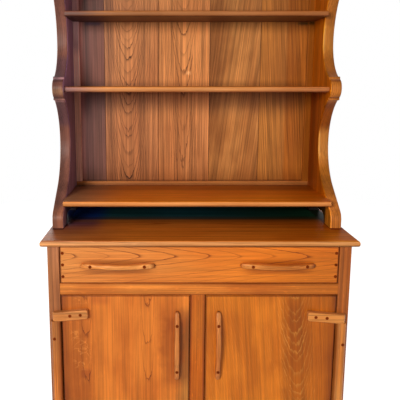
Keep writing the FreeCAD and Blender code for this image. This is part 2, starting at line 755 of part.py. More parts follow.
def door(hand):
    """One board door with two straps and an upright pull, all held by pegs."""
    inward = 1 if hand == "left" else -1
    inner_sign = "+" if hand == "left" else "-"
    pin_x = on(hand, PIN_X)
    pegs = []
    holes = []
    straps = []
    sockets = []
    for level, heights, batten_ends, upward in STRAP_LEVELS:
        name = f"{hand}_{level}_strap"
        height = heights[hand]
        batten_end = batten_ends[hand]
        up, down = ("+", "-") if upward > 0 else ("-", "+")
        mouth = f"({height} {down} strap_height / 2)"
        centre = (pin_x, PIN_Y)
        socket_foot = f"({batten_end} {down} pin_socket)"
        hinge_pins.append(pin_rod(f"{name}_pin", centre, upward, socket_foot,
                                  f"({mouth} {up} strap_bore {down} batten_clearance)", "pin_radius"))
        sockets.append(pin_rod(f"{name}_socket", centre, upward, socket_foot, f"({batten_end} {up} overrun)",
                               "pin_radius + pin_clearance"))
        bore = pin_rod(f"{name}_bore", centre, upward, f"({mouth} {down} overrun)",
                       f"({mouth} {up} strap_bore)", "pin_radius + pin_clearance")
        places = [(f"{pin_x} {inner_sign} {hand}_strap_length * {share}",
                   f"{height} {up} strap_tip_rise * {share}") for share in STRAP_PEGS]
        strap_holes = peg_holes(name, places, PEG_END)
        pegs += peg_row(name, places, f"{FACE} - strap_thickness", PEG_END)
        holes += strap_holes
        strap = strap_shape(f"{name}_bar", size(f"{hand}_strap_length"), inward, upward)
        put(strap, (pin_x, FACE, height))
        straps.append(cut(name, strap, [bore, *strap_holes]))
    node(group(f"hinge_straps_{hand}", straps), f"hinge_straps_{hand}")
    hinge_batten(hand, sockets)

    pull_x = on(hand, f"{DOOR_INNER[hand]} + door_pull_inset")
    pull_middle = f"({DOOR_TOP} - door_pull_drop - pull_length / 2)"
    places = []
    for sign in "-+":
        distance = f"-door_pull_peg_drop {sign} door_pull_peg_spacing / 2"
        place = (pull_x, f"{pull_middle} + {distance}")
        pegs += peg_row(f"door_pull_{hand}_{len(places)}", [place], pull_front(distance), PEG_END)
        places.append(place)
    pull_holes = peg_holes(f"door_pull_{hand}", places, PEG_END)
    pull = pull_shape(f"door_pull_{hand}_bar")
    place_pull(pull, (pull_x, FACE, pull_middle), upright=True)
    node(cut(f"door_pull_{hand}", pull, pull_holes), f"door_pull_{hand}")
    node(group(f"door_pegs_{hand}", pegs), f"door_pegs_{hand}")

    panel = rounded_board(f"door_{hand}_board", span(hand, DOOR_INNER[hand], DOOR_OUTER),
                          (FACE, f"{FACE} + door_thickness"), (DOOR_FOOT, DOOR_TOP),
                          "board_arris_radius", *FRONT_CORNERS)
    node(cut(f"door_panel_{hand}", panel, holes + pull_holes), f"door_panel_{hand}")


for hand in HANDS:
    door(hand)
node(group("hinge_pins", hinge_pins), "hinge_pins")

# Plate rack: shelves first, because their tongues are also the housings in the sides
RACK_BACK = f"({BACK} - back_board_thickness)"
RACK_TOP = "(counter_height + rack_height)"
housings = {hand: [] for hand in HANDS}
shelf_places = {}
for level in ("bottom", "middle", "top"):
    label = f"rack_{level}_shelf"
    foot = f"(counter_height + {level}_shelf_height)"
    up = (foot, f"({foot} + rack_shelf_thickness)")
    front = f"({FACE} + {level}_shelf_depth)"
    shelf_places[level] = up
    members = [rounded_board(f"{label}_board", (f"-{RACK_INNER}", RACK_INNER), (front, RACK_BACK), up,
                             "rack_shelf_nose_radius", "-y+z", "-y-z")]
    for hand in HANDS:
        tongue = board(f"{label}_tongue_{hand}", span(hand, RACK_INNER, f"{RACK_INNER} + housing_depth"),
                       (f"{front} + housing_setback", RACK_BACK), up)
        housings[hand].append(tongue)
        members.append(tongue)
    node(join(label, members), label)


def between(centre, radius, first, last):
    """The point of a circle that lies halfway between two points of it."""
    return toward(centre, (first + last) * 0.5, radius)


def rack_outline():
    """Front edge of a rack side from foot to head, then round the back and the cut in its foot.

    X is the depth behind the front of the base and Y the height above the counter.
    """
    foot = size("foot_depth")
    rise = size("foot_rise")
    foot_radius = size("foot_radius")
    back = size("case_depth")
    height = size("rack_height")
    bump_radius = size("bump_radius")
    head = size("head_depth")
    head_radius = size("head_radius")
    scallop = size("lower_scallop_radius")
    lower_waist = Vector(size("lower_waist_depth"), size("lower_waist_height"), 0)
    upper_waist = Vector(size("upper_waist_depth"), size("upper_waist_height"), 0)
    bump = Vector(size("bump_depth") + bump_radius, size("bump_height"), 0)
    foot_centre = Vector(foot + foot_radius, rise, 0)
    scallop_centre = lower_waist - Vector(scallop, 0, 0)

    # the straight run from the rounded foot into the lower scallop touches both circles
    across = scallop_centre - foot_centre
    lean = math.acos((foot_radius + scallop) / across.Length)
    normal = Rotation(Vector(0, 0, 1), math.degrees(lean)).multVec(across.normalize())
    foot_end = foot_centre + normal * foot_radius
    scallop_start = scallop_centre - normal * scallop

    def bump_scallop(waist):
        """Centre and radius of the scallop that has its waist here and runs smoothly into the bump."""
        step = bump.x - waist.x
        climb = bump.y - waist.y
        radius = (step ** 2 + climb ** 2 - bump_radius ** 2) / (2 * (bump_radius - step))
        return waist - Vector(radius, 0, 0), radius

    below, below_radius = bump_scallop(lower_waist)
    above, above_radius = bump_scallop(upper_waist)
    bump_start = toward(bump, below, bump_radius)
    bump_end = toward(bump, above, bump_radius)

    # the upper scallop runs into the rounded shoulder of the head
    head_scallop = size("upper_scallop_radius")
    head_centre = upper_waist - Vector(head_scallop, 0, 0)
    shoulder_step = head + head_radius - head_centre.x
    shoulder = Vector(head + head_radius,
                      head_centre.y + math.sqrt((head_scallop + head_radius) ** 2 - shoulder_step ** 2), 0)
    shoulder_start = toward(shoulder, head_centre, head_radius)
    shoulder_end = Vector(head, shoulder.y, 0)

    def astragal(centre, radius, quirk, turn):
        """Centre of the small bead next to a quirk, sunk a little into the scallop round this centre."""
        step = size("bead_groove_radius") + size("astragal_radius")
        swing = Rotation(Vector(0, 0, 1), turn * math.degrees(step / radius))
        return toward(centre, centre + swing.multVec(quirk - centre), radius + size("astragal_sink"))

    astragals = (astragal(below, below_radius, bump_start, -1), astragal(above, above_radius, bump_end, 1))
    cut_start = size("foot_cut_start")
    cut_end = size("foot_cut_end")
    cut_height = size("foot_cut_height")
    cut_round = size("foot_cut_radius")
    cut_spring = cut_height - cut_round
    foot_front = Vector(foot, rise, 0)
    rear_round = Vector(cut_end - cut_round, cut_spring, 0)
    front_round = Vector(cut_start + cut_round, cut_spring, 0)
    cut_points = [Vector(cut_end, cut_spring, 0), Vector(cut_end - cut_round, cut_height, 0),
                  Vector(cut_start + cut_round, cut_height, 0), Vector(cut_start, cut_spring, 0)]
    edges = [
        arc(foot_front, between(foot_centre, foot_radius, foot_front, foot_end), foot_end),
        line(foot_end, scallop_start),
        arc(scallop_start, between(scallop_centre, scallop, scallop_start, lower_waist), lower_waist),
        arc(lower_waist, between(below, below_radius, lower_waist, bump_start), bump_start),
        arc(bump_start, bump - Vector(bump_radius, 0, 0), bump_end),
        arc(bump_end, between(above, above_radius, bump_end, upper_waist), upper_waist),
        arc(upper_waist, between(head_centre, head_scallop, upper_waist, shoulder_start), shoulder_start),
        arc(shoulder_start, between(shoulder, head_radius, shoulder_start, shoulder_end), shoulder_end),
        line(shoulder_end, Vector(head, height, 0)),
        line(Vector(head, height, 0), Vector(back, height, 0)),
        line(Vector(back, height, 0), Vector(back, 0, 0)),
        line(Vector(back, 0, 0), Vector(cut_end, 0, 0)),
        line(Vector(cut_end, 0, 0), cut_points[0]),
        arc(cut_points[0], between(rear_round, cut_round, *cut_points[:2]), cut_points[1]),
        line(cut_points[1], cut_points[2]),
        arc(cut_points[2], between(front_round, cut_round, *cut_points[2:]), cut_points[3]),
        line(cut_points[3], Vector(cut_start, 0, 0)),
        line(Vector(cut_start, 0, 0), Vector(foot, 0, 0)),
        line(Vector(foot, 0, 0), foot_front),
    ]
    radii = {0: "foot_radius", 2: "lower_scallop_radius", 4: "bump_radius", 6: "upper_scallop_radius",
             7: "head_radius", 13: "foot_cut_radius", 15: "foot_cut_radius"}
    return edges, radii, (bump_start, bump_end), astragals


def circles(body, name, centres, radius):
    """A sketch of equal circles across the thickness of a rack side."""
    sketch = sketch_on(body, name, "YZ_Plane")
    for number, centre in enumerate(centres):
        sketch.addGeometry(Part.Circle(centre, Vector(0, 0, 1), size(radius)), False)
        fix_radius(sketch, number, radius)
    return sketch


def rack_side(hand):
    """A thick scalloped side of the rack, rounded along its front, with quirks and beads beside the bump."""
    label = f"rack_side_{hand}"
    body = doc.addObject("PartDesign::Body", f"{label}_board")
    edges, radii, quirks, astragals = rack_outline()
    outline = draw(body, f"{label}_outline", "YZ_Plane", edges)
    for number, formula in radii.items():
        fix_radius(outline, number, formula)
    pad(body, outline, "rack_side_thickness")
    foot = size("foot_depth")
    foot_edges = [f"Edge{number}" for number, edge in enumerate(body.Shape.Edges, start=1)
                  if math.isclose(edge.BoundBox.YMax, foot, abs_tol=size("same_place"))
                  and edge.BoundBox.ZLength > size("same_place")]
    fillet(body, foot_edges, "rack_side_edge_radius")
    beads = circles(body, f"{label}_astragals", astragals, "astragal_radius")
    pad(body, beads, "rack_side_thickness")
    pocket(body, circles(body, f"{label}_quirks", quirks, "bead_groove_radius"))
    put(body, (on(hand, RACK_INNER if hand == "right" else RACK_HALF), FACE, "counter_height"))
    rebate = board(f"{label}_rebate", span(hand, RACK_INNER, f"{RACK_INNER} + rebate_width"),
                   (RACK_BACK, f"{BACK} + overrun"), ("counter_height - overrun", f"{RACK_TOP} + overrun"))
    tools = [rebate, *housings[hand], dowel_holes["rack_front", hand], dowel_holes["rack_rear", hand]]
    node(cut(label, body, tools), label)


for hand in HANDS:
    rack_side(hand)
TOP_HALF = f"({RACK_HALF} + rack_top_overhang)"
node(rounded_board("rack_top_board", (f"-{TOP_HALF}", TOP_HALF),
                   (f"{FACE} + head_depth - rack_top_overhang", BACK),
                   (RACK_TOP, f"{RACK_TOP} + rack_top_thickness"),
                   "rack_shelf_nose_radius", *NOSED_CORNERS), "rack_top_board")

# Upright back boards from the counter to the top board; each laps behind the next one
BOARD_RISE = ("counter_height", RACK_TOP)
LAP_FRONT = f"({RACK_BACK} + back_board_thickness / 2)"
left = f"(-{RACK_INNER} - rebate_width)"
for number, width in enumerate(("first_back_board_width", "second_back_board_width", "third_back_board_width",
                                "fourth_back_board_width", None), start=1):
    right = f"({left} + {width})" if width else f"({RACK_INNER} + rebate_width)"
    label = f"back_board_{number}"
    edge = f"{right} - back_board_seam" if width else right
    back_board = board(f"{label}_board", (left, edge), (RACK_BACK, BACK), BOARD_RISE)
    if width:
        lap = board(f"{label}_lap", (edge, f"{edge} + back_board_lap"), (LAP_FRONT, BACK), BOARD_RISE)
        back_board = join(f"{label}_lapped", [back_board, lap])
    if number > 1:
        rebate = board(f"{label}_rebate", (f"{left} - overrun", f"{left} + back_board_lap"),
                       (LAP_FRONT, f"{BACK} + overrun"), BOARD_RISE)
        back_board = cut(f"{label}_rebated", back_board, [rebate])
    node(back_board, label)
    left = right

# Beads against the back boards
BEAD_FRONT = f"({RACK_BACK} - bead_depth)"
bead_top = f"({shelf_places['bottom'][1]} + bead_height)"
node(rounded_board("back_bead", (f"-{RACK_INNER}", RACK_INNER), (BEAD_FRONT, RACK_BACK),
                   (shelf_places["bottom"][1], bead_top), "bead_edge_radius", "-y+z"), "back_bead")
bays = ((bead_top, shelf_places["middle"][0]), (shelf_places["middle"][1], shelf_places["top"][0]),
        (shelf_places["top"][1], RACK_TOP))
corner_beads = []
for hand in HANDS:
    for number, bay in enumerate(bays):
        corner_beads.append(rounded_board(f"corner_bead_{hand}_{number}",
                                          span(hand, f"{RACK_INNER} - corner_bead_width", RACK_INNER),
                                          (BEAD_FRONT, RACK_BACK), bay, "bead_edge_radius",
                                          "+x-y" if hand == "left" else "-x-y"))
node(group("corner_beads", corner_beads), "corner_beads")

doc.recompute()
for item in doc.Objects:
    if "Invalid" in item.State or "Error" in item.State:
        raise RuntimeError(f"{item.Label} did not build: {item.State}")
for item in nodes:
    if item.Shape.isNull() or not item.Shape.isValid() or not item.Shape.Solids:
        raise RuntimeError(f"{item.Label} has no valid shape")

os.makedirs("parts", exist_ok=True)
for item in nodes:
    item.Shape.exportStep(f"parts/{item.Label}.step")
    print(item.Label, len(item.Shape.Solids), round(item.Shape.Volume))
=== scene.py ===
# %% [markdown]
# # A welsh dresser in oiled elm
#
# This lesson dresses a finished construction model of a handmade dresser: a base with one long drawer
# and two board doors, and a plate rack standing on its counter. The boards, rails, shelves and hinges
# already have their true shapes and sizes, so Blender's work is the wood itself, the few pieces that
# were carved by hand, the light and the camera.

# %% Load the dresser
import math

import bmesh
import bpy
from mathutils import Matrix, Vector


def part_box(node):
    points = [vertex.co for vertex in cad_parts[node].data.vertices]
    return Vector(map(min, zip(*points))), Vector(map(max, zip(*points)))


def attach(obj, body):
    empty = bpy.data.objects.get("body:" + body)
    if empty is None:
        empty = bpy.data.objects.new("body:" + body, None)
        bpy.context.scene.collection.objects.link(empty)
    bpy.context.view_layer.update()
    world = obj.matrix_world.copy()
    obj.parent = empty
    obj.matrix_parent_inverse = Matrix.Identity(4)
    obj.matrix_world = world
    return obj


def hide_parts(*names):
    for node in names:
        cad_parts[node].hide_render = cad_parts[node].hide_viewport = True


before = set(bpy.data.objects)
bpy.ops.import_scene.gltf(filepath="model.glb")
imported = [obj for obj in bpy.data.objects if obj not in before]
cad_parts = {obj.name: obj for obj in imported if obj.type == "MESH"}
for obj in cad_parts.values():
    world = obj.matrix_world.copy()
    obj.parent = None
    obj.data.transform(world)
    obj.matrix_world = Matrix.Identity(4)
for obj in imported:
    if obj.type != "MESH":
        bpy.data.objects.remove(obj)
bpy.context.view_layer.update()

# %% [markdown]
# ## Adding and feeding nodes
#
# Shader trees are graphs, and writing one in a script soon drowns in bookkeeping. A few small helpers
# keep the later cells readable: one feeds a socket with either a plain value or another node's output,
# and the others add a node and hand back its result. A name with an underscore stands for a socket whose
# name has a space.

# %% Adding and feeding nodes
def feed(tree, socket, value):
    """Link an output to a socket, or set the socket to a plain value."""
    if isinstance(value, bpy.types.NodeSocket):
        tree.links.new(value, socket)
    elif value is not None:
        socket.default_value = value


def add(tree, kind, settings=None, **inputs):
    """A node of a kind, with its settings and its named inputs."""
    node = tree.nodes.new(kind)
    for name, value in (settings or {}).items():
        setattr(node, name, value)
    for name, value in inputs.items():
        feed(tree, node.inputs[name.replace("_", " ")], value)
    return node


def calc(tree, operation, *values):
    """The result of a Math node."""
    node = tree.nodes.new("ShaderNodeMath")
    node.operation = operation
    for socket, value in zip(node.inputs, values):
        feed(tree, socket, value)
    return node.outputs[0]


print("helpers: feed, add and calc")

# %% [markdown]
# ## Ranges and colours
#
# Most of what follows is one of two things: a value that is moved from one range to another, or a colour
# that is mixed with a second one. Both get a helper. The Mix node has a set of sockets for each kind of
# data, with the same names, so its colour sockets are picked by their numbers.

# %% Ranges and colours
WHITE = (1.0, 1.0, 1.0, 1.0)
FIRST_COLOUR = 6
SECOND_COLOUR = 7
MIXED_COLOUR = 2


def remap(tree, value, low, high, new_low=0.0, new_high=1.0):
    """A value moved from one range to another, eased at both ends and held inside it."""
    node = tree.nodes.new("ShaderNodeMapRange")
    node.interpolation_type = "SMOOTHSTEP"
    for socket, number in zip(node.inputs, (value, low, high, new_low, new_high)):
        feed(tree, socket, number)
    return node.outputs[0]


def blend(tree, kind, share, first, second):
    """Two colours mixed by a share."""
    node = tree.nodes.new("ShaderNodeMix")
    node.data_type = "RGBA"
    node.blend_type = kind
    feed(tree, node.inputs["Factor"], share)
    feed(tree, node.inputs[FIRST_COLOUR], first)
    feed(tree, node.inputs[SECOND_COLOUR], second)
    return node.outputs[MIXED_COLOUR]


def srgb(red, green, blue):
    """A colour as picked on a screen, turned into the linear values that a shader takes."""
    linear = [c / 12.92 if c <= 0.04045 else ((c + 0.055) / 1.055) ** 2.4
              for c in (red / 255, green / 255, blue / 255)]
    return (*linear, 1.0)


print("mid orange on a screen is", [round(c, 3) for c in srgb(217, 120, 48)], "to a shader")

# %% [markdown]
# ## Groups
#
# An effect that many boards share is wired once, in a group, and each board only sets its inputs. Copying
# the nodes into every material would work as well, but a correction would then have to be made in each.

# %% Groups
NUMBER = "NodeSocketFloat"
COLOUR = "NodeSocketColor"
ARROW = "NodeSocketVector"


def new_group(name, inputs, outputs):
    """An empty shader group with named inputs and outputs."""
    group = bpy.data.node_groups.new(name, "ShaderNodeTree")
    for label, (kind, value) in inputs.items():
        socket = group.interface.new_socket(label, in_out="INPUT", socket_type=kind)
        socket.default_value = value
    for label, kind in outputs.items():
        group.interface.new_socket(label, in_out="OUTPUT", socket_type=kind)
    return group, group.nodes.new("NodeGroupInput").outputs, group.nodes.new("NodeGroupOutput").inputs


print("groups take a", NUMBER, "a", COLOUR, "or a", ARROW)

# %% [markdown]
# ## What an elm board can be told
#
# A board is a slice out of a log, so its figure is not painted on it: every line is a growth ring that
# the saw has cut. Rings are long cones. A board sawn near the middle of the log cuts them as nested
# arrowheads, which joiners call cathedrals, and their arms run on as straight lines at its edges. An
# image of wood would be easier, but two boards would look alike and the ends of a board would be wrong.
# So one shader group counts rings, and each board says how it was sawn, in metres and rings. Tip Spacing
# is the way from one tip to the next, and Crowd brings the tips closer along the board. Figure Width is
# how far a ring opens sideways, Point says whether tips are sharp or round, and Flank how soon the arms
# run straight. A Second Column of tips may stand beside the first. Wander, Bend, Ripple and Uneven keep
# the lines from being perfect, and Fineness narrows the dark line within its ring.

# %% What an elm board can be told
ELM_INPUTS = {
    "Vector": (ARROW, (0, 0, 0)),
    "Tip Spacing": (NUMBER, 1.5),
    "Figure Width": (NUMBER, 0.008),
    "Point": (NUMBER, 1.0),
    "Flank": (NUMBER, 2.0),
    "Crowd": (NUMBER, 0.0),
    "Second Column": (NUMBER, 9.0),
    "Ring Width": (NUMBER, 0.006),
    "Wander": (NUMBER, 0.005),
    "Bend": (NUMBER, 1.2),
    "Ripple": (NUMBER, 0.5),
    "Uneven": (NUMBER, 1.6),
    "Sharp": (NUMBER, 1.2),
    "Fineness": (NUMBER, 1.0),
    "Contrast": (NUMBER, 0.6),
    "Plain": (NUMBER, 0.0),
    "Mottle": (NUMBER, 0.5),
    "Bands": (NUMBER, 0.12),
    "Streaks": (NUMBER, 0.16),
    "Flecks": (NUMBER, 0.10),
    "Seed": (NUMBER, 0.0),
    "Light Wood": (COLOUR, WHITE),
    "Deep Wood": (COLOUR, WHITE),
    "Ring Line": (COLOUR, WHITE),
}
ELM_OUTPUTS = {"Color": COLOUR, "Rings": NUMBER, "Height": NUMBER}
elm, given, result = new_group("elm_grain", ELM_INPUTS, ELM_OUTPUTS)
print("elm group:", len(ELM_INPUTS), "inputs")

# %% [markdown]
# ## Noise along the grain
#
# Wood changes slowly along the grain and quickly across it. All of its unevenness, from a finger-wide
# band to a pore, can therefore be the same noise, drawn out by another amount each time. A shift of the
# seed keeps any two of them from falling together.

# %% Noise along the grain
GRAIN_NOISES = {
    # changes per metre along and across the grain, shift of the seed, detail, roughness
    "sway": (2.5, 0.8, 7.3, 1.0, 0.5),
    "bend": (3.0, 6.0, 0.0, 1.5, 0.5),
    "ripple": (30.0, 110.0, 3.1, 2.0, 0.5),
    "patch": (7.0, 34.0, 21.0, 1.0, 0.5),
    "fibre": (7.0, 330.0, 0.0, 3.0, 0.6),
    "streak": (2.2, 190.0, 5.7, 2.0, 0.7),
    "band": (0.8, 24.0, 13.0, 1.0, 0.5),
    "pore": (45.0, 900.0, 1.9, 1.0, 0.5),
    "fleck": (34.0, 150.0, 17.0, 1.0, 0.5),
    "cloud": (4.0, 10.0, 11.0, 3.0, 0.55),
}


def elm_noise(name):
    """One noise of the elm group, from 0 to 1."""
    along, across, shift, detail, roughness = GRAIN_NOISES[name]
    scaled = add(elm, "ShaderNodeVectorMath", {"operation": "MULTIPLY"})
    feed(elm, scaled.inputs[0], given["Vector"])
    feed(elm, scaled.inputs[1], (along, across, across))
    noise = add(elm, "ShaderNodeTexNoise", {"noise_dimensions": "4D"}, Vector=scaled.outputs[0],
                W=calc(elm, "ADD", given["Seed"], shift), Scale=1.0, Detail=detail, Roughness=roughness)
    return noise.outputs["Fac"]


def swing(noise, reach):
    """A noise centred on nothing and scaled by a reach."""
    return calc(elm, "MULTIPLY", calc(elm, "SUBTRACT", noise, 0.5), reach)


print(len(GRAIN_NOISES), "noises along the grain")

# %% [markdown]
# ## Counting rings
#
# The age of a point is a sum of rings: outward from the column on which the arrowheads stand, onward
# along the board, and inward through its thickness, so that the figure also goes round edges and ends.
# Good and poor summers make wide and narrow rings, which a noise over the age itself gives.

# %% Counting rings
SWAY_REACH = 4.0
COLUMN_BLEND = 0.02
SUMMER_RATE = 0.4
place = add(elm, "ShaderNodeSeparateXYZ", Vector=given["Vector"]).outputs
sway = swing(elm_noise("sway"), calc(elm, "MULTIPLY", given["Wander"], SWAY_REACH))
sideways = calc(elm, "ADD", place["Y"], sway)
from_second = calc(elm, "ABSOLUTE", calc(elm, "SUBTRACT", sideways, given["Second Column"]))
from_column = calc(elm, "SMOOTH_MIN", calc(elm, "ABSOLUTE", sideways), from_second, COLUMN_BLEND)
arm = calc(elm, "DIVIDE", from_column, given["Figure Width"])
straightened = calc(elm, "DIVIDE", arm, given["Flank"])
flattening = calc(elm, "POWER", calc(elm, "ADD", 1.0, calc(elm, "MULTIPLY", straightened, straightened)),
                  calc(elm, "MULTIPLY", calc(elm, "SUBTRACT", 1.0, given["Point"]), 0.5))
outward = calc(elm, "MULTIPLY", calc(elm, "POWER", arm, given["Point"]), flattening)
onward = calc(elm, "ADD", calc(elm, "DIVIDE", place["X"], given["Tip Spacing"]),
              calc(elm, "MULTIPLY", calc(elm, "MULTIPLY", place["X"], place["X"]), given["Crowd"]))
inward = calc(elm, "DIVIDE", place["Z"], given["Ring Width"])
bend = swing(elm_noise("bend"), given["Bend"])
ripple = swing(elm_noise("ripple"), given["Ripple"])
age = outward
for part in (onward, inward, bend, ripple):
    age = calc(elm, "ADD", age, part)
summers = add(elm, "ShaderNodeTexNoise", {"noise_dimensions": "1D"}, Scale=1.0, Detail=1.0,
              W=calc(elm, "ADD", calc(elm, "MULTIPLY", age, SUMMER_RATE), given["Seed"]))
age = calc(elm, "ADD", age, swing(summers.outputs["Fac"], given["Uneven"]))
print("ring count wired:", len(elm.nodes), "nodes so far")

# %% [markdown]
# ## Dark lines
#
# Within one year's ring the wood starts dark and open and fades into dense pale wood, so each ring is a
# line that is sharp on one side and soft on the other, which a curve over the year draws. No two years
# are equally strong. Plain says how far the lines fade away from the column, since many boards are
# figured only there.

# %% Dark lines
SEASON_ENDS = ((0.0, 0.10), (1.0, 0.04))
SEASON_COURSE = ((0.07, 1.0), (0.20, 0.66), (0.36, 0.22), (0.60, 0.06))
FAINTEST_YEAR = 0.35
FADING_ARM = (1.2, 2.6)
NOISE_LEVELS = {
    # between which values of a noise its mark comes in, and from what to what the mark goes
    "patch": (0.36, 0.60, 0.5, 1.0),
    "pore": (0.56, 0.70, 0.0, 1.0),
    "cloud": (0.36, 0.64, 0.0, 1.0),
    "fibre": (0.25, 0.75, 0.90, 1.08),
    "streak": (0.3, 0.7, -1.0, 1.0),
    "band": (0.3, 0.7, -1.0, 1.0),
    "fleck": (0.62, 0.74, 0.0, 1.0),
}


def marks(name):
    """The marks that one noise leaves in the wood."""
    return remap(elm, elm_noise(name), *NOISE_LEVELS[name])


grown = calc(elm, "MINIMUM", calc(elm, "MULTIPLY", calc(elm, "FRACT", age), given["Fineness"]), 1.0)
season = add(elm, "ShaderNodeFloatCurve", Value=grown)
curve = season.mapping.curves[0]
for point, end in zip(curve.points, SEASON_ENDS):
    point.location = end
for position, height in SEASON_COURSE:
    curve.points.new(position, height)
season.mapping.update()
year = add(elm, "ShaderNodeTexWhiteNoise", {"noise_dimensions": "1D"},
           W=calc(elm, "ADD", calc(elm, "FLOOR", age), given["Seed"])).outputs["Value"]
rings = calc(elm, "MULTIPLY", calc(elm, "POWER", season.outputs[0], given["Sharp"]),
             remap(elm, year, 0.0, 1.0, FAINTEST_YEAR, 1.0))
faded = calc(elm, "MULTIPLY", remap(elm, arm, *FADING_ARM), given["Plain"])
kept = calc(elm, "MULTIPLY", calc(elm, "SUBTRACT", 1.0, faded), marks("patch"))
rings = calc(elm, "MULTIPLY", rings, kept)
print("dark lines wired:", len(elm.nodes), "nodes so far")

# %% [markdown]
# ## Fibres, pores and cloudy colour
#
# Between the lines elm is uneven too: short dark pores, pale flecks, fine fibres that catch light, bands
# a finger wide and whole areas that drift between honey and red brown. Fibres stand up a little and
# rings and pores lie deeper, which goes out as a height for a faint bump.

# %% Fibres, pores and cloudy colour
PORE_OUTSIDE_RINGS = 0.2
PORE_DARKNESS = 0.30
FIBRE_HEIGHT = 0.4
RING_DEPTH = 0.35
PORE_DEPTH = 0.5
fibre = elm_noise("fibre")
pore_share = calc(elm, "ADD", calc(elm, "MULTIPLY", rings, 1.0 - PORE_OUTSIDE_RINGS), PORE_OUTSIDE_RINGS)
pores = calc(elm, "MULTIPLY", marks("pore"), pore_share)
wood = blend(elm, "MIX", calc(elm, "MULTIPLY", marks("cloud"), given["Mottle"]),
             given["Light Wood"], given["Deep Wood"])
for dark in (calc(elm, "MULTIPLY", rings, given["Contrast"]), calc(elm, "MULTIPLY", pores, PORE_DARKNESS)):
    wood = blend(elm, "MIX", dark, wood, given["Ring Line"])
shade = remap(elm, fibre, *NOISE_LEVELS["fibre"])
for name, amount in (("streak", "Streaks"), ("band", "Bands"), ("fleck", "Flecks")):
    shade = calc(elm, "ADD", shade, calc(elm, "MULTIPLY", marks(name), given[amount]))
shaded = add(elm, "ShaderNodeVectorMath", {"operation": "SCALE"}, Scale=shade)
feed(elm, shaded.inputs[0], wood)
sunk = calc(elm, "ADD", calc(elm, "MULTIPLY", rings, RING_DEPTH), calc(elm, "MULTIPLY", pores, PORE_DEPTH))
feed(elm, result["Color"], shaded.outputs[0])
feed(elm, result["Rings"], rings)
feed(elm, result["Height"], calc(elm, "SUBTRACT", calc(elm, "MULTIPLY", fibre, FIBRE_HEIGHT), sunk))
print("elm group:", len(elm.nodes), "nodes")

# %% [markdown]
# ## Painted light and shade by facing
#
# A second group tints the wood by the way that a surface faces. This is painted light and shade: what
# looks up, what looks down and what turns away from the window are made darker or brighter than the
# lamps leave them. An arris can take a tint of its own, found from the normal alone: on a flat face of a
# square board two of its three parts are nothing, and only on a rounded edge are two of them large.

# %% The group that paints light and shade by facing
TINTED_SIDES = {"Top Tint": ("Z", 1.0), "Under Tint": ("Z", -1.0), "Left Tint": ("X", -1.0),
                "Right Tint": ("X", 1.0)}
FACING_IT = (0.5, 0.95)
ON_ARRIS = (0.15, 0.45)
FACING_SHADE_INPUTS = {"Color": (COLOUR, WHITE), "Normal": (ARROW, (0, 0, 1)), "Edge Tint": (COLOUR, WHITE)}
for label in TINTED_SIDES:
    FACING_SHADE_INPUTS[label] = (COLOUR, WHITE)
# a group that paints light and shade by the way a surface faces
facing_shade_group, facing_inputs, facing_output = new_group("painted_facing_shade", FACING_SHADE_INPUTS, {"Color": COLOUR})
facing = add(facing_shade_group, "ShaderNodeSeparateXYZ", Vector=facing_inputs["Normal"]).outputs
facing_tinted = facing_inputs["Color"]
for label, (axis, sign) in TINTED_SIDES.items():
    turned = remap(facing_shade_group, calc(facing_shade_group, "MULTIPLY", facing[axis], sign), *FACING_IT)
    facing_tinted = blend(facing_shade_group, "MULTIPLY", turned, facing_tinted, facing_inputs[label])
arris = 0.0
for first, second in (("X", "Y"), ("Y", "Z"), ("Z", "X")):
    both = calc(facing_shade_group, "ABSOLUTE", calc(facing_shade_group, "MULTIPLY", facing[first], facing[second]))
    arris = calc(facing_shade_group, "MAXIMUM", arris, both)
facing_tinted = blend(facing_shade_group, "MULTIPLY", remap(facing_shade_group, arris, *ON_ARRIS), facing_tinted, facing_inputs["Edge Tint"])
feed(facing_shade_group, facing_output["Color"], facing_tinted)
print("wax and wear group:", len(facing_shade_group.nodes), "nodes")
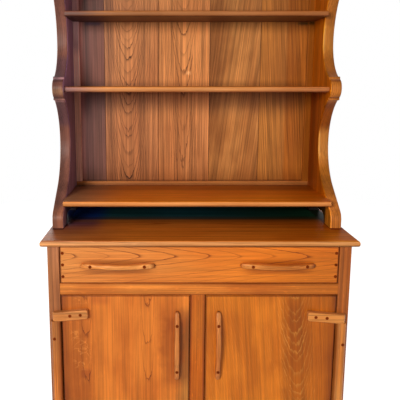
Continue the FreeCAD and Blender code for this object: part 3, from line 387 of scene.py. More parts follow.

# %% [markdown]
# ## Tones of the boards
#
# No two boards come from the same place in a log. Each show board has three tones of its own, chosen
# and corrected after each render until its area had the picture's colour under this light.

# %% Tones of the boards
TONES = {
    # light wood, deep wood and ring line, as picked on a screen
    "drawer": ((218, 138, 68), (205, 116, 44), (108, 42, 9)),
    "door_left": ((222, 126, 46), (196, 104, 34), (134, 60, 18)),
    "door_right": ((216, 121, 30), (188, 99, 20), (240, 166, 84)),
    "rail": ((226, 136, 56), (198, 106, 36), (140, 66, 22)),
    "stile": ((204, 111, 30), (180, 87, 19), (120, 54, 10)),
    "post_left": ((158, 98, 57), (136, 78, 42), (90, 48, 26)),
    "post_right": ((178, 98, 38), (154, 77, 25), (106, 48, 14)),
    "rear": ((190, 116, 56), (168, 94, 40), (120, 60, 26)),
    "counter": ((234, 164, 106), (214, 136, 70), (140, 72, 30)),
    "shelf_bottom": ((222, 146, 80), (200, 120, 54), (136, 68, 28)),
    "shelf_middle": ((226, 152, 90), (204, 126, 62), (140, 72, 32)),
    # the top shelf's tones are darkened as painted shade
    "shelf_top": ((174, 112, 64), (154, 92, 44), (104, 52, 22)),
    # the left side's tones are darker and purple as painted shade
    "side_left": ((104, 65, 54), (84, 50, 42), (50, 30, 26)),
    "side_right": ((178, 108, 42), (150, 82, 24), (92, 44, 10)),
    # the first back board's tones are darker and purple as painted shade from the left side
    "back_1": ((140, 92, 78), (112, 70, 60), (62, 38, 34)),
    "back_2": ((200, 130, 76), (158, 92, 50), (66, 30, 12)),
    "back_3": ((214, 140, 80), (172, 102, 50), (74, 34, 12)),
    "back_4": ((200, 134, 72), (158, 96, 46), (84, 42, 16)),
    "back_5": ((194, 124, 56), (156, 90, 35), (80, 38, 12)),
    "bead": ((164, 100, 46), (140, 77, 31), (88, 43, 15)),
    "strap": ((210, 136, 72), (184, 106, 44), (120, 56, 18)),
    "pull": ((208, 130, 66), (182, 100, 40), (118, 54, 16)),
    "pull_pale": ((248, 166, 90), (222, 134, 58), (150, 76, 28)),
    "pull_red": ((226, 142, 64), (200, 112, 38), (128, 58, 14)),
    "batten_left": ((184, 112, 54), (160, 88, 34), (104, 48, 16)),
    "batten_right": ((228, 150, 76), (204, 118, 48), (140, 66, 20)),
    "inside": ((206, 128, 60), (178, 102, 42), (118, 60, 24)),
    "peg": ((126, 50, 14), (100, 37, 9), (56, 20, 6)),
}
print(len(TONES), "woods")

# %% [markdown]
# ## Where a stain goes
#
# Stains are changes from one place of a board to another. Some are the wood's own, such as heartwood
# beside sapwood or dirt along a joint, and many are painted light and shade, such as a dim strip under a
# shelf or a highlight on an arris. They could be painted on an image by hand, but numbers can be read and
# changed more easily. A stain is a tint that multiplies the wood, and one or more ramps that limit it to
# where it belongs. A ramp goes by a place, by a place with a cloudy edge, by the way a surface faces, or
# by the curling lines of a burr. It has a start, where the stain is nothing, and an end, where it is full.

# %% Where a stain goes
CLOUD_SCALE = 16.0
CLOUD_DETAIL = 3.0
CLOUD_REACH = 0.08
BURR_SCALE = 40.0
BURR_CURL = 0.9
FRONT = ("facing Y", -0.5, -0.95)
TOP = ("facing Z", 0.5, 0.95)


def ramp_share(tree, value, start, end):
    """How far a place is from a ramp's start towards its end, whichever of the two is higher."""
    if start < end:
        return remap(tree, value, start, end)
    return remap(tree, value, end, start, 1.0, 0.0)


def place_and_facing(tree, coordinates):
    """What a ramp can go by: a burr, a place, that place with a cloudy edge, or the way a surface faces."""
    spot = coordinates["Object"]
    cloud = add(tree, "ShaderNodeTexNoise", Vector=spot, Scale=CLOUD_SCALE, Detail=CLOUD_DETAIL)
    centred = add(tree, "ShaderNodeVectorMath", {"operation": "SUBTRACT"})
    feed(tree, centred.inputs[0], cloud.outputs["Color"])
    feed(tree, centred.inputs[1], (0.5, 0.5, 0.5))
    moved = add(tree, "ShaderNodeVectorMath", {"operation": "MULTIPLY_ADD"})
    feed(tree, moved.inputs[0], centred.outputs[0])
    feed(tree, moved.inputs[1], (CLOUD_REACH, CLOUD_REACH, CLOUD_REACH))
    feed(tree, moved.inputs[2], spot)
    burr = add(tree, "ShaderNodeTexNoise", Vector=spot, Scale=BURR_SCALE, Detail=1.0, Distortion=BURR_CURL)
    measures = {"burr": burr.outputs["Fac"]}
    for label, vector in (("", spot), ("cloudy ", moved.outputs[0]), ("facing ", coordinates["Normal"])):
        parts = add(tree, "ShaderNodeSeparateXYZ", Vector=vector).outputs
        for axis in "XYZ":
            measures[label + axis] = parts[axis]
    return measures


print("a stain on the front goes by", FRONT[0], "and one on the top by", TOP[0])

# %% [markdown]
# ## Laying the grain
#
# A joiner turns a board until its grain runs the way that the piece needs. Here that turn goes into a
# Mapping node, which makes the board's coordinates out of the dresser's: first along the grain, then
# across the face, then into the thickness. A minus sign turns the arrowheads round, and a lean tilts
# them within the face.

# %% Laying the grain
AXES = {"x": Vector((1, 0, 0)), "y": Vector((0, 1, 0)), "z": Vector((0, 0, 1))}


def grain_turn(along, across, lean=0.0):
    """The turn from a board's own axes to the dresser's, leaned by some degrees within the face."""
    first = AXES[along.strip("-")] * (-1 if along.startswith("-") else 1)
    second = AXES[across.strip("-")] * (-1 if across.startswith("-") else 1)
    turn = Matrix((first, second, first.cross(second))).transposed()
    return (turn @ Matrix.Rotation(math.radians(lean), 3, "Z")).to_euler()


def middle(node):
    """The middle of a piece."""
    low, high = (Vector(corner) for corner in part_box(node))
    return (low + high) / 2


print("grain down a door turns by", [round(math.degrees(angle)) for angle in grain_turn("-z", "-x")])

# %% [markdown]
# ## One material for each board
#
# Each board gets a material of its own: the same two groups, with its own column, ring width and tones.
# The finish on top is thin and satin, as oil and wax leave it: a little duller on the open rings, with
# hardly any coat. The grain stands up by about the thickness of a hair.

# %% One material for each board
SATIN = 0.42
OPEN_RING = 0.52
GRAIN_BUMP = 0.12
GRAIN_DEPTH = 0.0006
COAT = 0.04
COAT_ROUGHNESS = 0.25
SHINE = 0.22


def elm_board(name, tone, along, across, column, figure=None, tints=None, stains_and_shades=(), lean=0.0, polish=1.0):
    """A finished elm board: column is a point of its face on the line on which the arrowheads stand."""
    material = bpy.data.materials.new(name)
    material.use_nodes = True
    tree = material.node_tree
    shader = tree.nodes["Principled BSDF"]
    coordinates = add(tree, "ShaderNodeTexCoord").outputs
    mapping = add(tree, "ShaderNodeMapping", {"vector_type": "TEXTURE"}, Vector=coordinates["Object"],
                  Location=column, Rotation=grain_turn(along, across, lean))
    light, deep, ring_line = (srgb(*colour) for colour in TONES[tone])
    grain = add(tree, "ShaderNodeGroup", {"node_tree": elm}, Vector=mapping.outputs["Vector"],
                Light_Wood=light, Deep_Wood=deep, Ring_Line=ring_line, **(figure or {}))
    facing_shade = add(tree, "ShaderNodeGroup", {"node_tree": facing_shade_group}, Color=grain.outputs["Color"],
                 Normal=coordinates["Normal"])
    for label, tint in (tints or {}).items():
        facing_shade.inputs[label].default_value = (*tint, 1.0)
    colour = facing_shade.outputs["Color"]
    measures = place_and_facing(tree, coordinates)
    # these tints are the wood's own marks and painted light and shade alike
    for tint, *ramps in stains_and_shades:
        share = 1.0
        for measure, start, end in ramps:
            share = calc(tree, "MULTIPLY", share, ramp_share(tree, measures[measure], start, end))
        colour = blend(tree, "MULTIPLY", share, colour, (*tint, 1.0))
    feed(tree, shader.inputs["Base Color"], colour)
    feed(tree, shader.inputs["Roughness"], remap(tree, grain.outputs["Rings"], 0.0, 1.0, SATIN, OPEN_RING))
    bump = add(tree, "ShaderNodeBump", Strength=GRAIN_BUMP, Distance=GRAIN_DEPTH,
               Height=grain.outputs["Height"])
    feed(tree, shader.inputs["Normal"], bump.outputs["Normal"])
    shader.inputs["Coat Weight"].default_value = COAT * polish
    shader.inputs["Coat Roughness"].default_value = COAT_ROUGHNESS
    shader.inputs["Specular IOR Level"].default_value = SHINE * polish
    return material


def cover(material, *nodes):
    """Put a material on construction pieces."""
    for name in nodes:
        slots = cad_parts[name].data.materials
        slots.clear()
        slots.append(material)
    print(material.name, "on", ", ".join(nodes))


print("boards are rough", SATIN, "between rings and", OPEN_RING, "on them")

# %% [markdown]
# ## Dark edges and lit noses that many boards share
#
# A dark line runs along the edges of every board that is fitted between others: dirt in the joint and
# painted shade of the gap. A rounded nose gets a painted highlight along its upper half and painted
# shade below, where no light from the window falls. Both take their places from the piece's own box, so
# they stay right when a size changes.

# %% Dark edges and lit noses that many boards share
GRIME_AND_GAP_SHADE = (0.22, 0.13, 0.08)
NOSE = ("facing Y", -0.2, -0.6)
NOSE_MIDDLE = 0.50
NOSE_LIT = 0.75
NOSE_DIM = 0.02


def between(measure, low, high, soft):
    """Ramps that keep a stain between two places, with edges as soft as asked."""
    return (measure, low - soft, low + soft), (measure, high + soft, high - soft)


def within(left, right, low, high, soft=0.012):
    """Ramps that keep a stain to a soft-edged patch of a front."""
    return (*between("X", left, right, soft), *between("Z", low, high, soft), FRONT)


def grime_and_gap_shade(node, width=0.005, tint=GRIME_AND_GAP_SHADE, axes="XZ"):
    """Dark line along an upright board's edges: dirt in the joint and painted shade of the gap."""
    low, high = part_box(node)
    lines = []
    for axis in axes:
        number = "XYZ".index(axis)
        lines.append((tint, (axis, low[number] + width, low[number]), FRONT))
        lines.append((tint, (axis, high[number] - width, high[number]), FRONT))
    return lines


def nose_light(node, high_tint=(1.16, 1.18, 1.22), low_tint=(0.40, 0.34, 0.30)):
    """Stains for a nose: a painted highlight along its upper half, painted shade along its lower half."""
    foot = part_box(node)[0][2]
    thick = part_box(node)[1][2] - foot
    return [(high_tint, ("Z", foot + NOSE_MIDDLE * thick, foot + NOSE_LIT * thick), NOSE),
            (low_tint, ("Z", foot + NOSE_MIDDLE * thick, foot + NOSE_DIM * thick), NOSE)]


print("a grime line has", len(grime_and_gap_shade("drawer_front")), "stains, a nose", len(nose_light("counter_top")))

# %% [markdown]
# ## Painted shade on the back of the rack
#
# Under the bottom shelf the back boards are painted near black as deep shade. Below the middle shelf lies
# a painted dim strip, just above every shelf and bead a line of painted shade, and under the top shelf
# both corners are painted darker still. A lamp alone gives too little of this, so it is painted in as well.

# %% Painted shade on the back of the rack
BACK_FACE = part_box("back_board_1")[0][1]
SHELF_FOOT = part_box("rack_bottom_shelf")[0][2]
UNDER_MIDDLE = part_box("rack_middle_shelf")[0][2]
UNDER_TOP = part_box("rack_top_shelf")[0][2]
BEAD_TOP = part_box("back_bead")[1][2]
# painted shade: near black under the bottom shelf, a dim strip below the middle shelf
PAINTED_BLACK_UNDER_SHELF = ((0.032, 0.30, 1.15), ("Z", SHELF_FOOT + 0.004, SHELF_FOOT - 0.006), FRONT)
PAINTED_SHADE_UNDER_MIDDLE = ((0.56, 0.55, 0.62), ("Z", UNDER_MIDDLE - 0.13, UNDER_MIDDLE - 0.03),
           ("Z", UNDER_MIDDLE + 0.012, UNDER_MIDDLE + 0.010), FRONT)
ABOVE_TOP_SHELF = ((0.84, 0.86, 0.90), ("Z", 1.53, 1.58))
LOWER_BAY = ((0.85, 0.83, 0.90), ("Z", 1.26, 1.16))
# painted shade in the two corners under the top shelf, navy on the left and near black on the right
NAVY_CORNER = ((0.32, 0.32, 0.95), *within(-0.408, -0.35, UNDER_TOP - 0.012, UNDER_TOP, 0.008))
DARK_CORNER = ((0.10, 0.20, 0.20), *within(0.395, 0.46, UNDER_TOP - 0.010, UNDER_TOP, 0.008))


def above(height, reach, tint):
    """Painted shade on the back just above a shelf or a bead."""
    behind_it = ("Z", height - 0.02, height - 0.01)
    return tint, ("Z", height + reach, height), behind_it, FRONT


SHADES = [PAINTED_BLACK_UNDER_SHELF, PAINTED_SHADE_UNDER_MIDDLE, ABOVE_TOP_SHELF,
          above(BEAD_TOP, 0.07, (0.70, 0.62, 0.52)), above(BEAD_TOP, 0.010, (0.62, 0.55, 0.45)),
          above(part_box("rack_middle_shelf")[1][2], 0.03, (0.66, 0.62, 0.55)),
          above(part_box("rack_top_shelf")[1][2], 0.034, (0.25, 0.12, 0.0))]
print(len(SHADES), "shades on every back board")

# %% [markdown]
# ## Five back boards
#
# Five upright boards close the back. The second and third show strong arrowheads pointing down, round
# ones on the second and long narrow ones on the third. The fourth leans, and on the fifth dark heartwood
# begins at a clear line. The columns were read off the picture, and the spacing and crowding of the tips
# were set until they fell close to where the picture has them. The seams carry a dark line of dirt and
# painted shade, two boards are paler along an arris beside a seam, and the first two boards carry
# painted shade from the rack's left side.

# %% Five back boards
SEAM_WIDTH = 0.0035
SEAM_TINT = (0.28, 0.22, 0.18)
PALE_ARRIS = (1.20, 1.28, 1.42)
COLUMN_HEIGHT = 1.3
BACK_POLISH = 0.6
FIGURED = {"Flank": 4.0, "Contrast": 1.0, "Streaks": 0.34, "Bands": 0.15}
STRAIGHT = {"Figure_Width": 0.006, "Contrast": 0.5}


def pale_edge(number, hand):
    """A pale strip along the arris of a back board beside a seam."""
    low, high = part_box(f"back_board_{number}")
    edge, inward = (low[0], 1) if hand == "left" else (high[0], -1)
    starts, full, fades, ends = (edge + inward * way for way in (0.002, 0.004, 0.006, 0.010))
    return PALE_ARRIS, ("X", starts, full), ("X", ends, fades), FRONT


def back_board(number, column_x, stains_and_shades=(), lean=0.0, **figure):
    """One back board with its column at a place on its face; its arrowheads point down."""
    name = f"back_board_{number}"
    figure.setdefault("Seed", float(number))
    board = elm_board(f"{name}_elm", f"back_{number}", "-z", "-x", (column_x, BACK_FACE, COLUMN_HEIGHT),
                      figure, stains_and_shades=(*SHADES, *grime_and_gap_shade(name, SEAM_WIDTH, SEAM_TINT, "X"), *stains_and_shades),
                      lean=lean, polish=BACK_POLISH)
    cover(board, name)


back_board(1, -0.60, **STRAIGHT, Bands=0.3, Streaks=0.3, stains_and_shades=[
    # dim and cool towards the corner and dark in the lower bay, both painted shade; redder above;
    # painted light again beside the bead
    ((0.70, 0.74, 0.90), ("X", -0.36, -0.41), FRONT),
    ((0.95, 0.80, 0.72), ("Z", 1.20, 1.32)),
    ((2.5, 2.5, 2.5), ("X", -0.402, -0.428), FRONT),
    ((0.58, 0.57, 0.59), ("X", -0.398, -0.384), ("X", -0.340, -0.364), ("Z", 1.26, 1.20), FRONT),
    # the hidden back of the board is as warm as its neighbours
    ((1.9, 1.8, 1.1), ("facing Y", 0.5, 0.9)),
    NAVY_CORNER])
# the second board is dimmer towards its left as painted shade from the rack's left side
back_board(2, -0.247, **FIGURED, Tip_Spacing=0.0425, Crowd=-6.9, Figure_Width=0.025, Point=2.1,
           Wander=0.004, Bend=1.6, Ripple=0.8, Uneven=1.8, Fineness=1.1, Plain=0.3, Seed=6.0,
           stains_and_shades=[((0.76, 0.74, 0.80), ("X", -0.27, -0.32)), LOWER_BAY, pale_edge(2, "left")])
back_board(3, -0.036, **FIGURED, Tip_Spacing=0.086, Crowd=-14.75, Figure_Width=0.024, Point=2.0,
           Wander=0.003, Bend=1.2, Ripple=0.7, Fineness=1.5, Plain=0.4, stains_and_shades=[
               LOWER_BAY, pale_edge(3, "right"),
               # a small pale knot
               ((1.45, 1.75, 2.2), *within(-0.026, -0.008, 1.368, 1.379, 0.005))])
back_board(4, 0.40, **STRAIGHT, Mottle=0.8, lean=7.0, Bend=2.0, Streaks=0.26, Bands=0.10,
           stains_and_shades=[((0.78, 0.74, 0.72), ("X", 0.16, 0.09))])
back_board(5, 0.10, **STRAIGHT, Bend=3.0, Wander=0.02, lean=-4.0, Streaks=0.34, Bands=0.15,
           stains_and_shades=[((0.80, 0.66, 0.42), ("X", 0.350, 0.362)), DARK_CORNER])

# %% [markdown]
# ## Light on the scalloped edges
#
# The rack's sides are thick boards sawn to a scalloped outline with a half-round bump. On the real edge
# some stretches face the window and others turn away, the collars above and below the bump catch
# highlights, and the grooves beside them lie in shade. The lamps give part of it. The rest is painted in
# by height as light, highlights and shade, left and right by themselves, because the picture shows them
# in very different light.

# %% Light on the scalloped edges
MIDDLE_SHELF = middle("rack_middle_shelf").z
BUMP = MIDDLE_SHELF + 0.003
EDGE = ("facing Y", -0.1, -0.5)
SCALLOP_SOFT = 0.015
SCALLOPS = {
    # from and to which height a stretch of the edge takes or loses the light, and its tint
    "left": ((1.185, 1.275, (0.72, 0.80, 1.20)), (1.340, 1.425, (0.78, 0.88, 1.30))),
    "right": ((0.945, 1.040, (0.76, 0.72, 0.42)), (1.065, 1.160, (1.30, 1.45, 1.60)),
              (1.175, 1.275, (0.54, 0.36, 0.02)), (1.340, 1.425, (0.80, 0.74, 0.60)),
              (1.445, 1.540, (1.26, 1.36, 1.30))),
}
# painted highlight on the arris where a stretch of the edge is lit
ARRIS_HIGHLIGHT = (1.40, 1.70, 2.40)
BUMP_MARKS = (
    # which mark, how far above the bump's middle, half its height, how soft its edges are
    ("collar", -0.042, 0.005, 0.002),
    ("collar", 0.034, 0.004, 0.002),
    ("groove", -0.031, 0.003, 0.002),
    ("groove", 0.026, 0.003, 0.002),
    ("crown", -0.010, 0.008, 0.012),
)
# painted highlights on the collars and the crown, painted shade in the grooves
BUMP_TINTS = {
    "left": {"collar": (2.3, 2.6, 2.9), "groove": (0.66, 0.58, 0.55), "crown": (1.8, 2.4, 1.9)},
    "right": {"collar": (1.25, 1.35, 1.6), "groove": (0.66, 0.58, 0.55), "crown": (1.15, 1.15, 1.2)},
}


def scallop_lines(hand, inner):
    """Painted light and shade on the scalloped edge, with a painted highlight on the arris where it is
    bright.
    """
    lines = []
    for start, end, tint in SCALLOPS[hand]:
        stretch = (*between("Z", start, end, SCALLOP_SOFT), EDGE)
        lines.append((tint, *stretch))
        if tint[0] > 1:
            by_the_arris = ("X", inner + 0.009, inner + 0.005)
            lines.append((ARRIS_HIGHLIGHT, by_the_arris, *stretch))
    return lines


def bump_lines(hand):
    """Painted highlights on a bump's collars and crown, and painted shade in the grooves beside them."""
    front_only = ("Y", 0.05, 0.04)
    lines = []
    for mark, height, half, soft in BUMP_MARKS:
        band = between("Z", BUMP + height - half, BUMP + height + half, soft)
        lines.append((BUMP_TINTS[hand][mark], *band, front_only, EDGE))
    return lines


print("bump at", round(BUMP, 3), "m;", len(bump_lines("left")), "marks on it")

# %% [markdown]
# ## Rack sides
#
# The grain of a side runs up. The left one stands in its own shade, painted dull and purple, also on its
# inner face, which gets painted light in the upper bay. The right one's inner face gets a deep amber
# painted shade, with painted light above the middle shelf and towards the front. Painted highlights run
# along the front edges, and the rear feet under the bottom shelf are painted black as shade.

# %% Rack sides
SIDE_FIGURE = {"Figure_Width": 0.007, "Ring_Width": 0.02, "Contrast": 0.55, "Streaks": 0.14, "Bands": 0.2,
               "Flecks": 0.04, "Mottle": 0.3}
# painted light and shade by facing: the left side's faces brightened, the right side's inner face darkened
SIDE_TINTS = {"left": {"Right Tint": (1.55, 2.0, 3.8), "Left Tint": (3.3, 2.7, 1.05)},
              "right": {"Left Tint": (0.46, 0.24, 0.006)}}
# painted highlight along the inner half of the front edges, and painted light on the feet
SIDE_EDGE_HIGHLIGHT = {"left": (1.45, 1.40, 1.35), "right": (1.12, 1.08, 1.0)}
FOOT_LIGHT = {"left": ((1.74, 1.70, 1.38), ("Z", 0.935, 0.895), ("facing X", -0.95, -0.5)),
              "right": ((1.30, 1.24, 1.3), ("Z", 1.00, 0.90))}
# painted shade on the rear feet under the bottom shelf
REAR_FOOT_SHADE = (0.12, 0.14, 0.20)
REAR_FOOT_FRONT_SHADE = (0.12, 0.16, 0.40)
# painted light on the inner faces: on the left in the upper bay, amber on the right
DULL_LIGHT = (1.60, 1.65, 2.0)
AMBER = (2.3, 3.2, 1.2)
# painted cool shade on the flat of the right foot's inside, and a painted highlight on its arris
GREY_FOOT = (0.72, 1.0, 45.0)
FOOT_ARRIS = (1.5, 1.6, 1.9)
SIDE_COLUMN = (0.40, 0.2, 1.2)
SIDE_SEED = 10.0


def side_light_and_shade(hand, sign):
    """All the painted light, highlights and shade on one side of the rack."""
    low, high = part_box(f"rack_side_{hand}")
    thick = high[0] - low[0]
    inner = low[0] if hand == "right" else high[0]
    inner_half = ("X", inner + sign * 0.75 * thick, inner + sign * 0.3 * thick)
    inner_face = ("facing X", -sign * 0.5, -sign * 0.9)
    upper_bay = ("Z", MIDDLE_SHELF - 0.01, MIDDLE_SHELF)
    lower_bay = ("Z", MIDDLE_SHELF, MIDDLE_SHELF - 0.01)
    towards_front = ("Y", BACK_FACE, low[1] + 0.03)
    foot_inside = ("Z", SHELF_FOOT + 0.002, SHELF_FOOT - 0.004)
    flat_only = ("X", inner + 0.0008, inner + 0.0002)
    by_the_arris = ("X", inner + 0.008, inner + 0.003)
    rear_foot = [("Z", SHELF_FOOT + 0.012, SHELF_FOOT + 0.002), ("Y", low[1] + 0.05, low[1] + 0.07),
                 ("facing X", sign * 0.9, sign * 0.5), ("facing Y", 0.9, 0.5)]
    stains_and_shades = [(SIDE_EDGE_HIGHLIGHT[hand], inner_half, ("facing Y", 0.1, -0.3)), FOOT_LIGHT[hand],
              *bump_lines(hand), *scallop_lines(hand, inner),
              (REAR_FOOT_SHADE, *rear_foot), (REAR_FOOT_FRONT_SHADE, *rear_foot, FRONT)]
    if hand == "left":
        return stains_and_shades + [(DULL_LIGHT, upper_bay, inner_face)]
    return stains_and_shades + [
        (AMBER, upper_bay, inner_face),
        (AMBER, lower_bay, towards_front, inner_face),
        # this tint is strong in blue, so it keeps to the flat of the foot and leaves its arris alone
        (GREY_FOOT, foot_inside, flat_only, inner_face),
        (FOOT_ARRIS, by_the_arris, ("Z", SHELF_FOOT, SHELF_FOOT - 0.005), EDGE)]


for hand, sign in (("left", -1), ("right", 1)):
    name = f"rack_side_{hand}"
    column = (sign * SIDE_COLUMN[0], *SIDE_COLUMN[1:])
    side = elm_board(f"{name}_elm", f"side_{hand}", "z", "x", column,
                     {**SIDE_FIGURE, "Seed": SIDE_SEED + sign}, SIDE_TINTS[hand], side_light_and_shade(hand, sign),
                     polish=0.6)
    cover(side, name)

# %% [markdown]
# ## Shelves
#
# The shelves run along the grain from side to side, so their rounded noses show long straight lines.
# Their tops get a deep orange painted shade. The left end of the bottom shelf is painted dull and grey,
# its top darkens towards the back boards as painted shade, and the noses, undersides and ends of the
# other two get painted light and shade as well.

# %% Shelves
SHELF_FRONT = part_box("rack_bottom_shelf")[0][1]
SHELF_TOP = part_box("rack_bottom_shelf")[1][2]
SHELF_FLAT = ("Z", SHELF_TOP - 0.0010, SHELF_TOP - 0.0003)
# painted shade on the tops, and a little on the undersides
SHELF_TINTS = {"Top Tint": (0.92, 0.62, 0.03), "Under Tint": (1.05, 0.88, 0.85)}
# painted light and shade on each shelf: grey at the left, darker to the right, to the back and below
SHELF_LIGHT_AND_SHADE = {
    "bottom": [((0.44, 0.80, 42.0), ("X", -0.24, -0.46), SHELF_FLAT, TOP),
               ((1.32, 1.28, 0.9), TOP),
               ((0.76, 0.68, 0.45), ("X", 0.22, 0.40), TOP),
               ((0.38, 0.36, 0.34), ("Y", SHELF_FRONT + 0.05, BACK_FACE - 0.01), TOP)],
    "middle": [((0.36, 0.38, 1.1), ("X", -0.28, -0.46)), ((0.68, 0.56, 0.48), ("X", 0.10, 0.44))],
    "top": [((0.36, 0.38, 0.42), ("facing Z", -0.5, -0.95)), ((0.40, 0.40, 0.85), ("X", -0.29, -0.43)),
            ((0.86, 0.80, 0.70), ("X", 0.0, 0.40))],
}
SHELF_SEED = 20.0
NOSE_LOW = {"bottom": (0.40, 0.34, 0.30), "middle": (0.46, 0.40, 0.38), "top": (0.72, 0.64, 0.60)}
for number, level in enumerate(("bottom", "middle", "top")):
    name = f"rack_{level}_shelf"
    shelf = elm_board(f"{name}_elm", f"shelf_{level}", "x", "y", middle(name),
                      {"Figure_Width": 0.007, "Contrast": 0.5, "Seed": SHELF_SEED + number},
                      SHELF_TINTS,
                      SHELF_LIGHT_AND_SHADE[level] + nose_light(name, low_tint=NOSE_LOW[level]), polish=0.7)
    cover(shelf, name)

# %% [markdown]
# ## Beads and top board
#
# A thin bead closes the joint between the bottom shelf and the back, with a painted highlight along its
# top and painted shade below. Upright beads stand in the back corners, painted for the light and shade
# there: the left one grey and dull, the right one deep brown. The top board lies outside the picture
# and gets a quiet figure like the shelves' wood.

# %% Beads and top board
LEFT_BEAD = ("X", -0.2, -0.4)
RIGHT_BEAD = ("X", 0.2, 0.4)
# painted light on the left corner bead, darker near its top; painted shade on the right one
CORNER_LIGHT_AND_SHADE = [((1.45, 2.1, 8.0), LEFT_BEAD),
                 ((1.7, 2.0, 2.3), LEFT_BEAD, ("Z", MIDDLE_SHELF - 0.01, MIDDLE_SHELF)),
                 ((0.60, 0.57, 0.66), LEFT_BEAD, ("Z", 1.42, 1.48)),
                 ((0.55, 0.42, 0.20), RIGHT_BEAD),
                 DARK_CORNER]
bead = elm_board("bead_elm", "bead", "x", "z", middle("back_bead"), {"Figure_Width": 0.004, "Seed": 24.0},
                 stains_and_shades=nose_light("back_bead", (1.40, 1.40, 1.35), (0.78, 0.72, 0.62)))
corner_beads = elm_board("corner_bead_elm", "back_5", "z", "x", middle("corner_beads"),
                         {"Figure_Width": 0.006, "Seed": 25.0}, stains_and_shades=CORNER_LIGHT_AND_SHADE, polish=0.2)
top_board = elm_board("rack_top_elm", "shelf_middle", "x", "y", middle("rack_top_board"),
                      {"Tip_Spacing": 0.12, "Figure_Width": 0.03, "Point": 1.8, "Flank": 3.0, "Seed": 26.0})
cover(bead, "back_bead")
cover(corner_beads, "corner_beads")
cover(top_board, "rack_top_board")

# %% [markdown]
# ## Counter
#
# The counter is one wide board. Its top gets a deep brown painted shade, and far under the bottom shelf
# it is painted almost black, turning bluish as in the picture. A dark line of painted shadow lies in
# front of each foot of the rack.

# %% Counter
COUNTER_COLUMN = (-0.15, -0.02, 0.85)
SIDE_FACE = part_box("rack_side_right")[1][0]
BETWEEN_SIDES = (*between("X", -SIDE_FACE, SIDE_FACE, 0.002), TOP)
FOOT_SHADOW_STARTS = 0.030
FOOT_SHADOW_FULL = 0.010
FOOT_SHADOW_BESIDE = 0.006


def foot_shadow(side, tint):
    """The dark line of painted shadow on the counter in front of a foot of the rack."""
    low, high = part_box(side)
    return (tint, ("Y", low[1] - FOOT_SHADOW_STARTS, low[1] - FOOT_SHADOW_FULL), ("X", low[0] - FOOT_SHADOW_BESIDE, low[0]),
            ("X", high[0] + FOOT_SHADOW_BESIDE, high[0]), TOP)


COUNTER_LIGHT_AND_SHADE = [
    # painted light: cool towards the left, except far under the shelf, and deeper towards the right
    ((0.60, 0.64, 1.9), ("X", -0.20, -0.45), ("Y", SHELF_FRONT + 0.10, SHELF_FRONT + 0.06), TOP),
    ((0.66, 0.54, 0.20), ("X", -0.10, 0.45), TOP),
    # painted light along the front of the top, more of it at both ends
    ((1.15, 1.12, 1.0), ("Y", -0.16, -0.22), TOP),
    ((1.30, 1.38, 1.2), ("Y", -0.13, -0.20), ("X", -0.30, -0.40), TOP),
    ((1.35, 1.60, 1.5), ("Y", -0.10, -0.16), ("X", 0.36, 0.44), TOP),
    # painted shade beside the left foot, and painted shadow in front of both feet
    ((0.42, 0.48, 2.2), ("Y", -0.14, 0.0), ("X", -0.30, -0.37), TOP),
    foot_shadow("rack_side_left", (0.28, 0.18, 0.25)),
    foot_shadow("rack_side_right", (0.38, 0.18, 0.10)),
    # three steps of painted shade into the dark under the bottom shelf
    ((0.45, 0.50, 0.75), ("Y", SHELF_FRONT + 0.01, SHELF_FRONT + 0.12), *BETWEEN_SIDES),
    ((0.12, 0.40, 1.9), ("Y", SHELF_FRONT + 0.11, SHELF_FRONT + 0.13), *BETWEEN_SIDES),
    ((0.35, 1.9, 3.2), ("Y", SHELF_FRONT + 0.14, SHELF_FRONT + 0.18), *BETWEEN_SIDES),
    # painted light on the nose, dimmer towards the right and brighter towards the left
    ((0.78, 0.74, 0.62), ("X", -0.10, 0.45), NOSE),
    ((1.35, 1.38, 1.45), ("X", -0.15, -0.42), NOSE),
    *nose_light("counter_top", (0.92, 0.94, 0.98), (0.36, 0.31, 0.26))]
# the top tint is painted shade
counter = elm_board("counter_elm", "counter", "x", "y", COUNTER_COLUMN,
                    {"Tip_Spacing": 0.25, "Figure_Width": 0.02, "Point": 1.8, "Flank": 3.0, "Contrast": 0.6,
                     "Seed": 30.0, "Bands": 0.15, "Streaks": 0.25},
                    {"Top Tint": (0.80, 0.50, 0.14)}, COUNTER_LIGHT_AND_SHADE, polish=0.1)
cover(counter, "counter_top")

# %% [markdown]
# ## Base frame
#
# Posts, rails and the centre stile are straight grained, as a joiner picks them. The group gives that
# when its column stands well beside the piece, so that only the straight arms of the rings cross it. The
# drawer rail gets painted light that fades to the right and painted shade under the drawer and along its
# foot, and the stile dark lines of dirt and painted shade along both edges.

# %% Base frame
RAIL_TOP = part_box("drawer_rail")[1][2]
RAIL_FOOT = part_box("drawer_rail")[0][2]
STILE_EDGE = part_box("centre_stile")[1][0]
SHADED = (0.50, 0.40, 0.34)
FRAME_FIGURE = {"Streaks": 0.26, "Bands": 0.2, "Flecks": 0.25}
FRAME_SEED = 40.0
BESIDE_FRAME = 0.3
# painted light fading to the right, painted shade under the drawer and along the rail's foot
RAIL_LIGHT_AND_SHADE = [((0.72, 0.61, 0.38), ("X", -0.40, 0.45)),
               ((0.62, 0.60, 0.58), ("Z", RAIL_TOP - 0.010, RAIL_TOP - 0.002), FRONT),
               ((0.55, 0.42, 0.22), ("Z", RAIL_FOOT + 0.004, RAIL_FOOT), FRONT)]
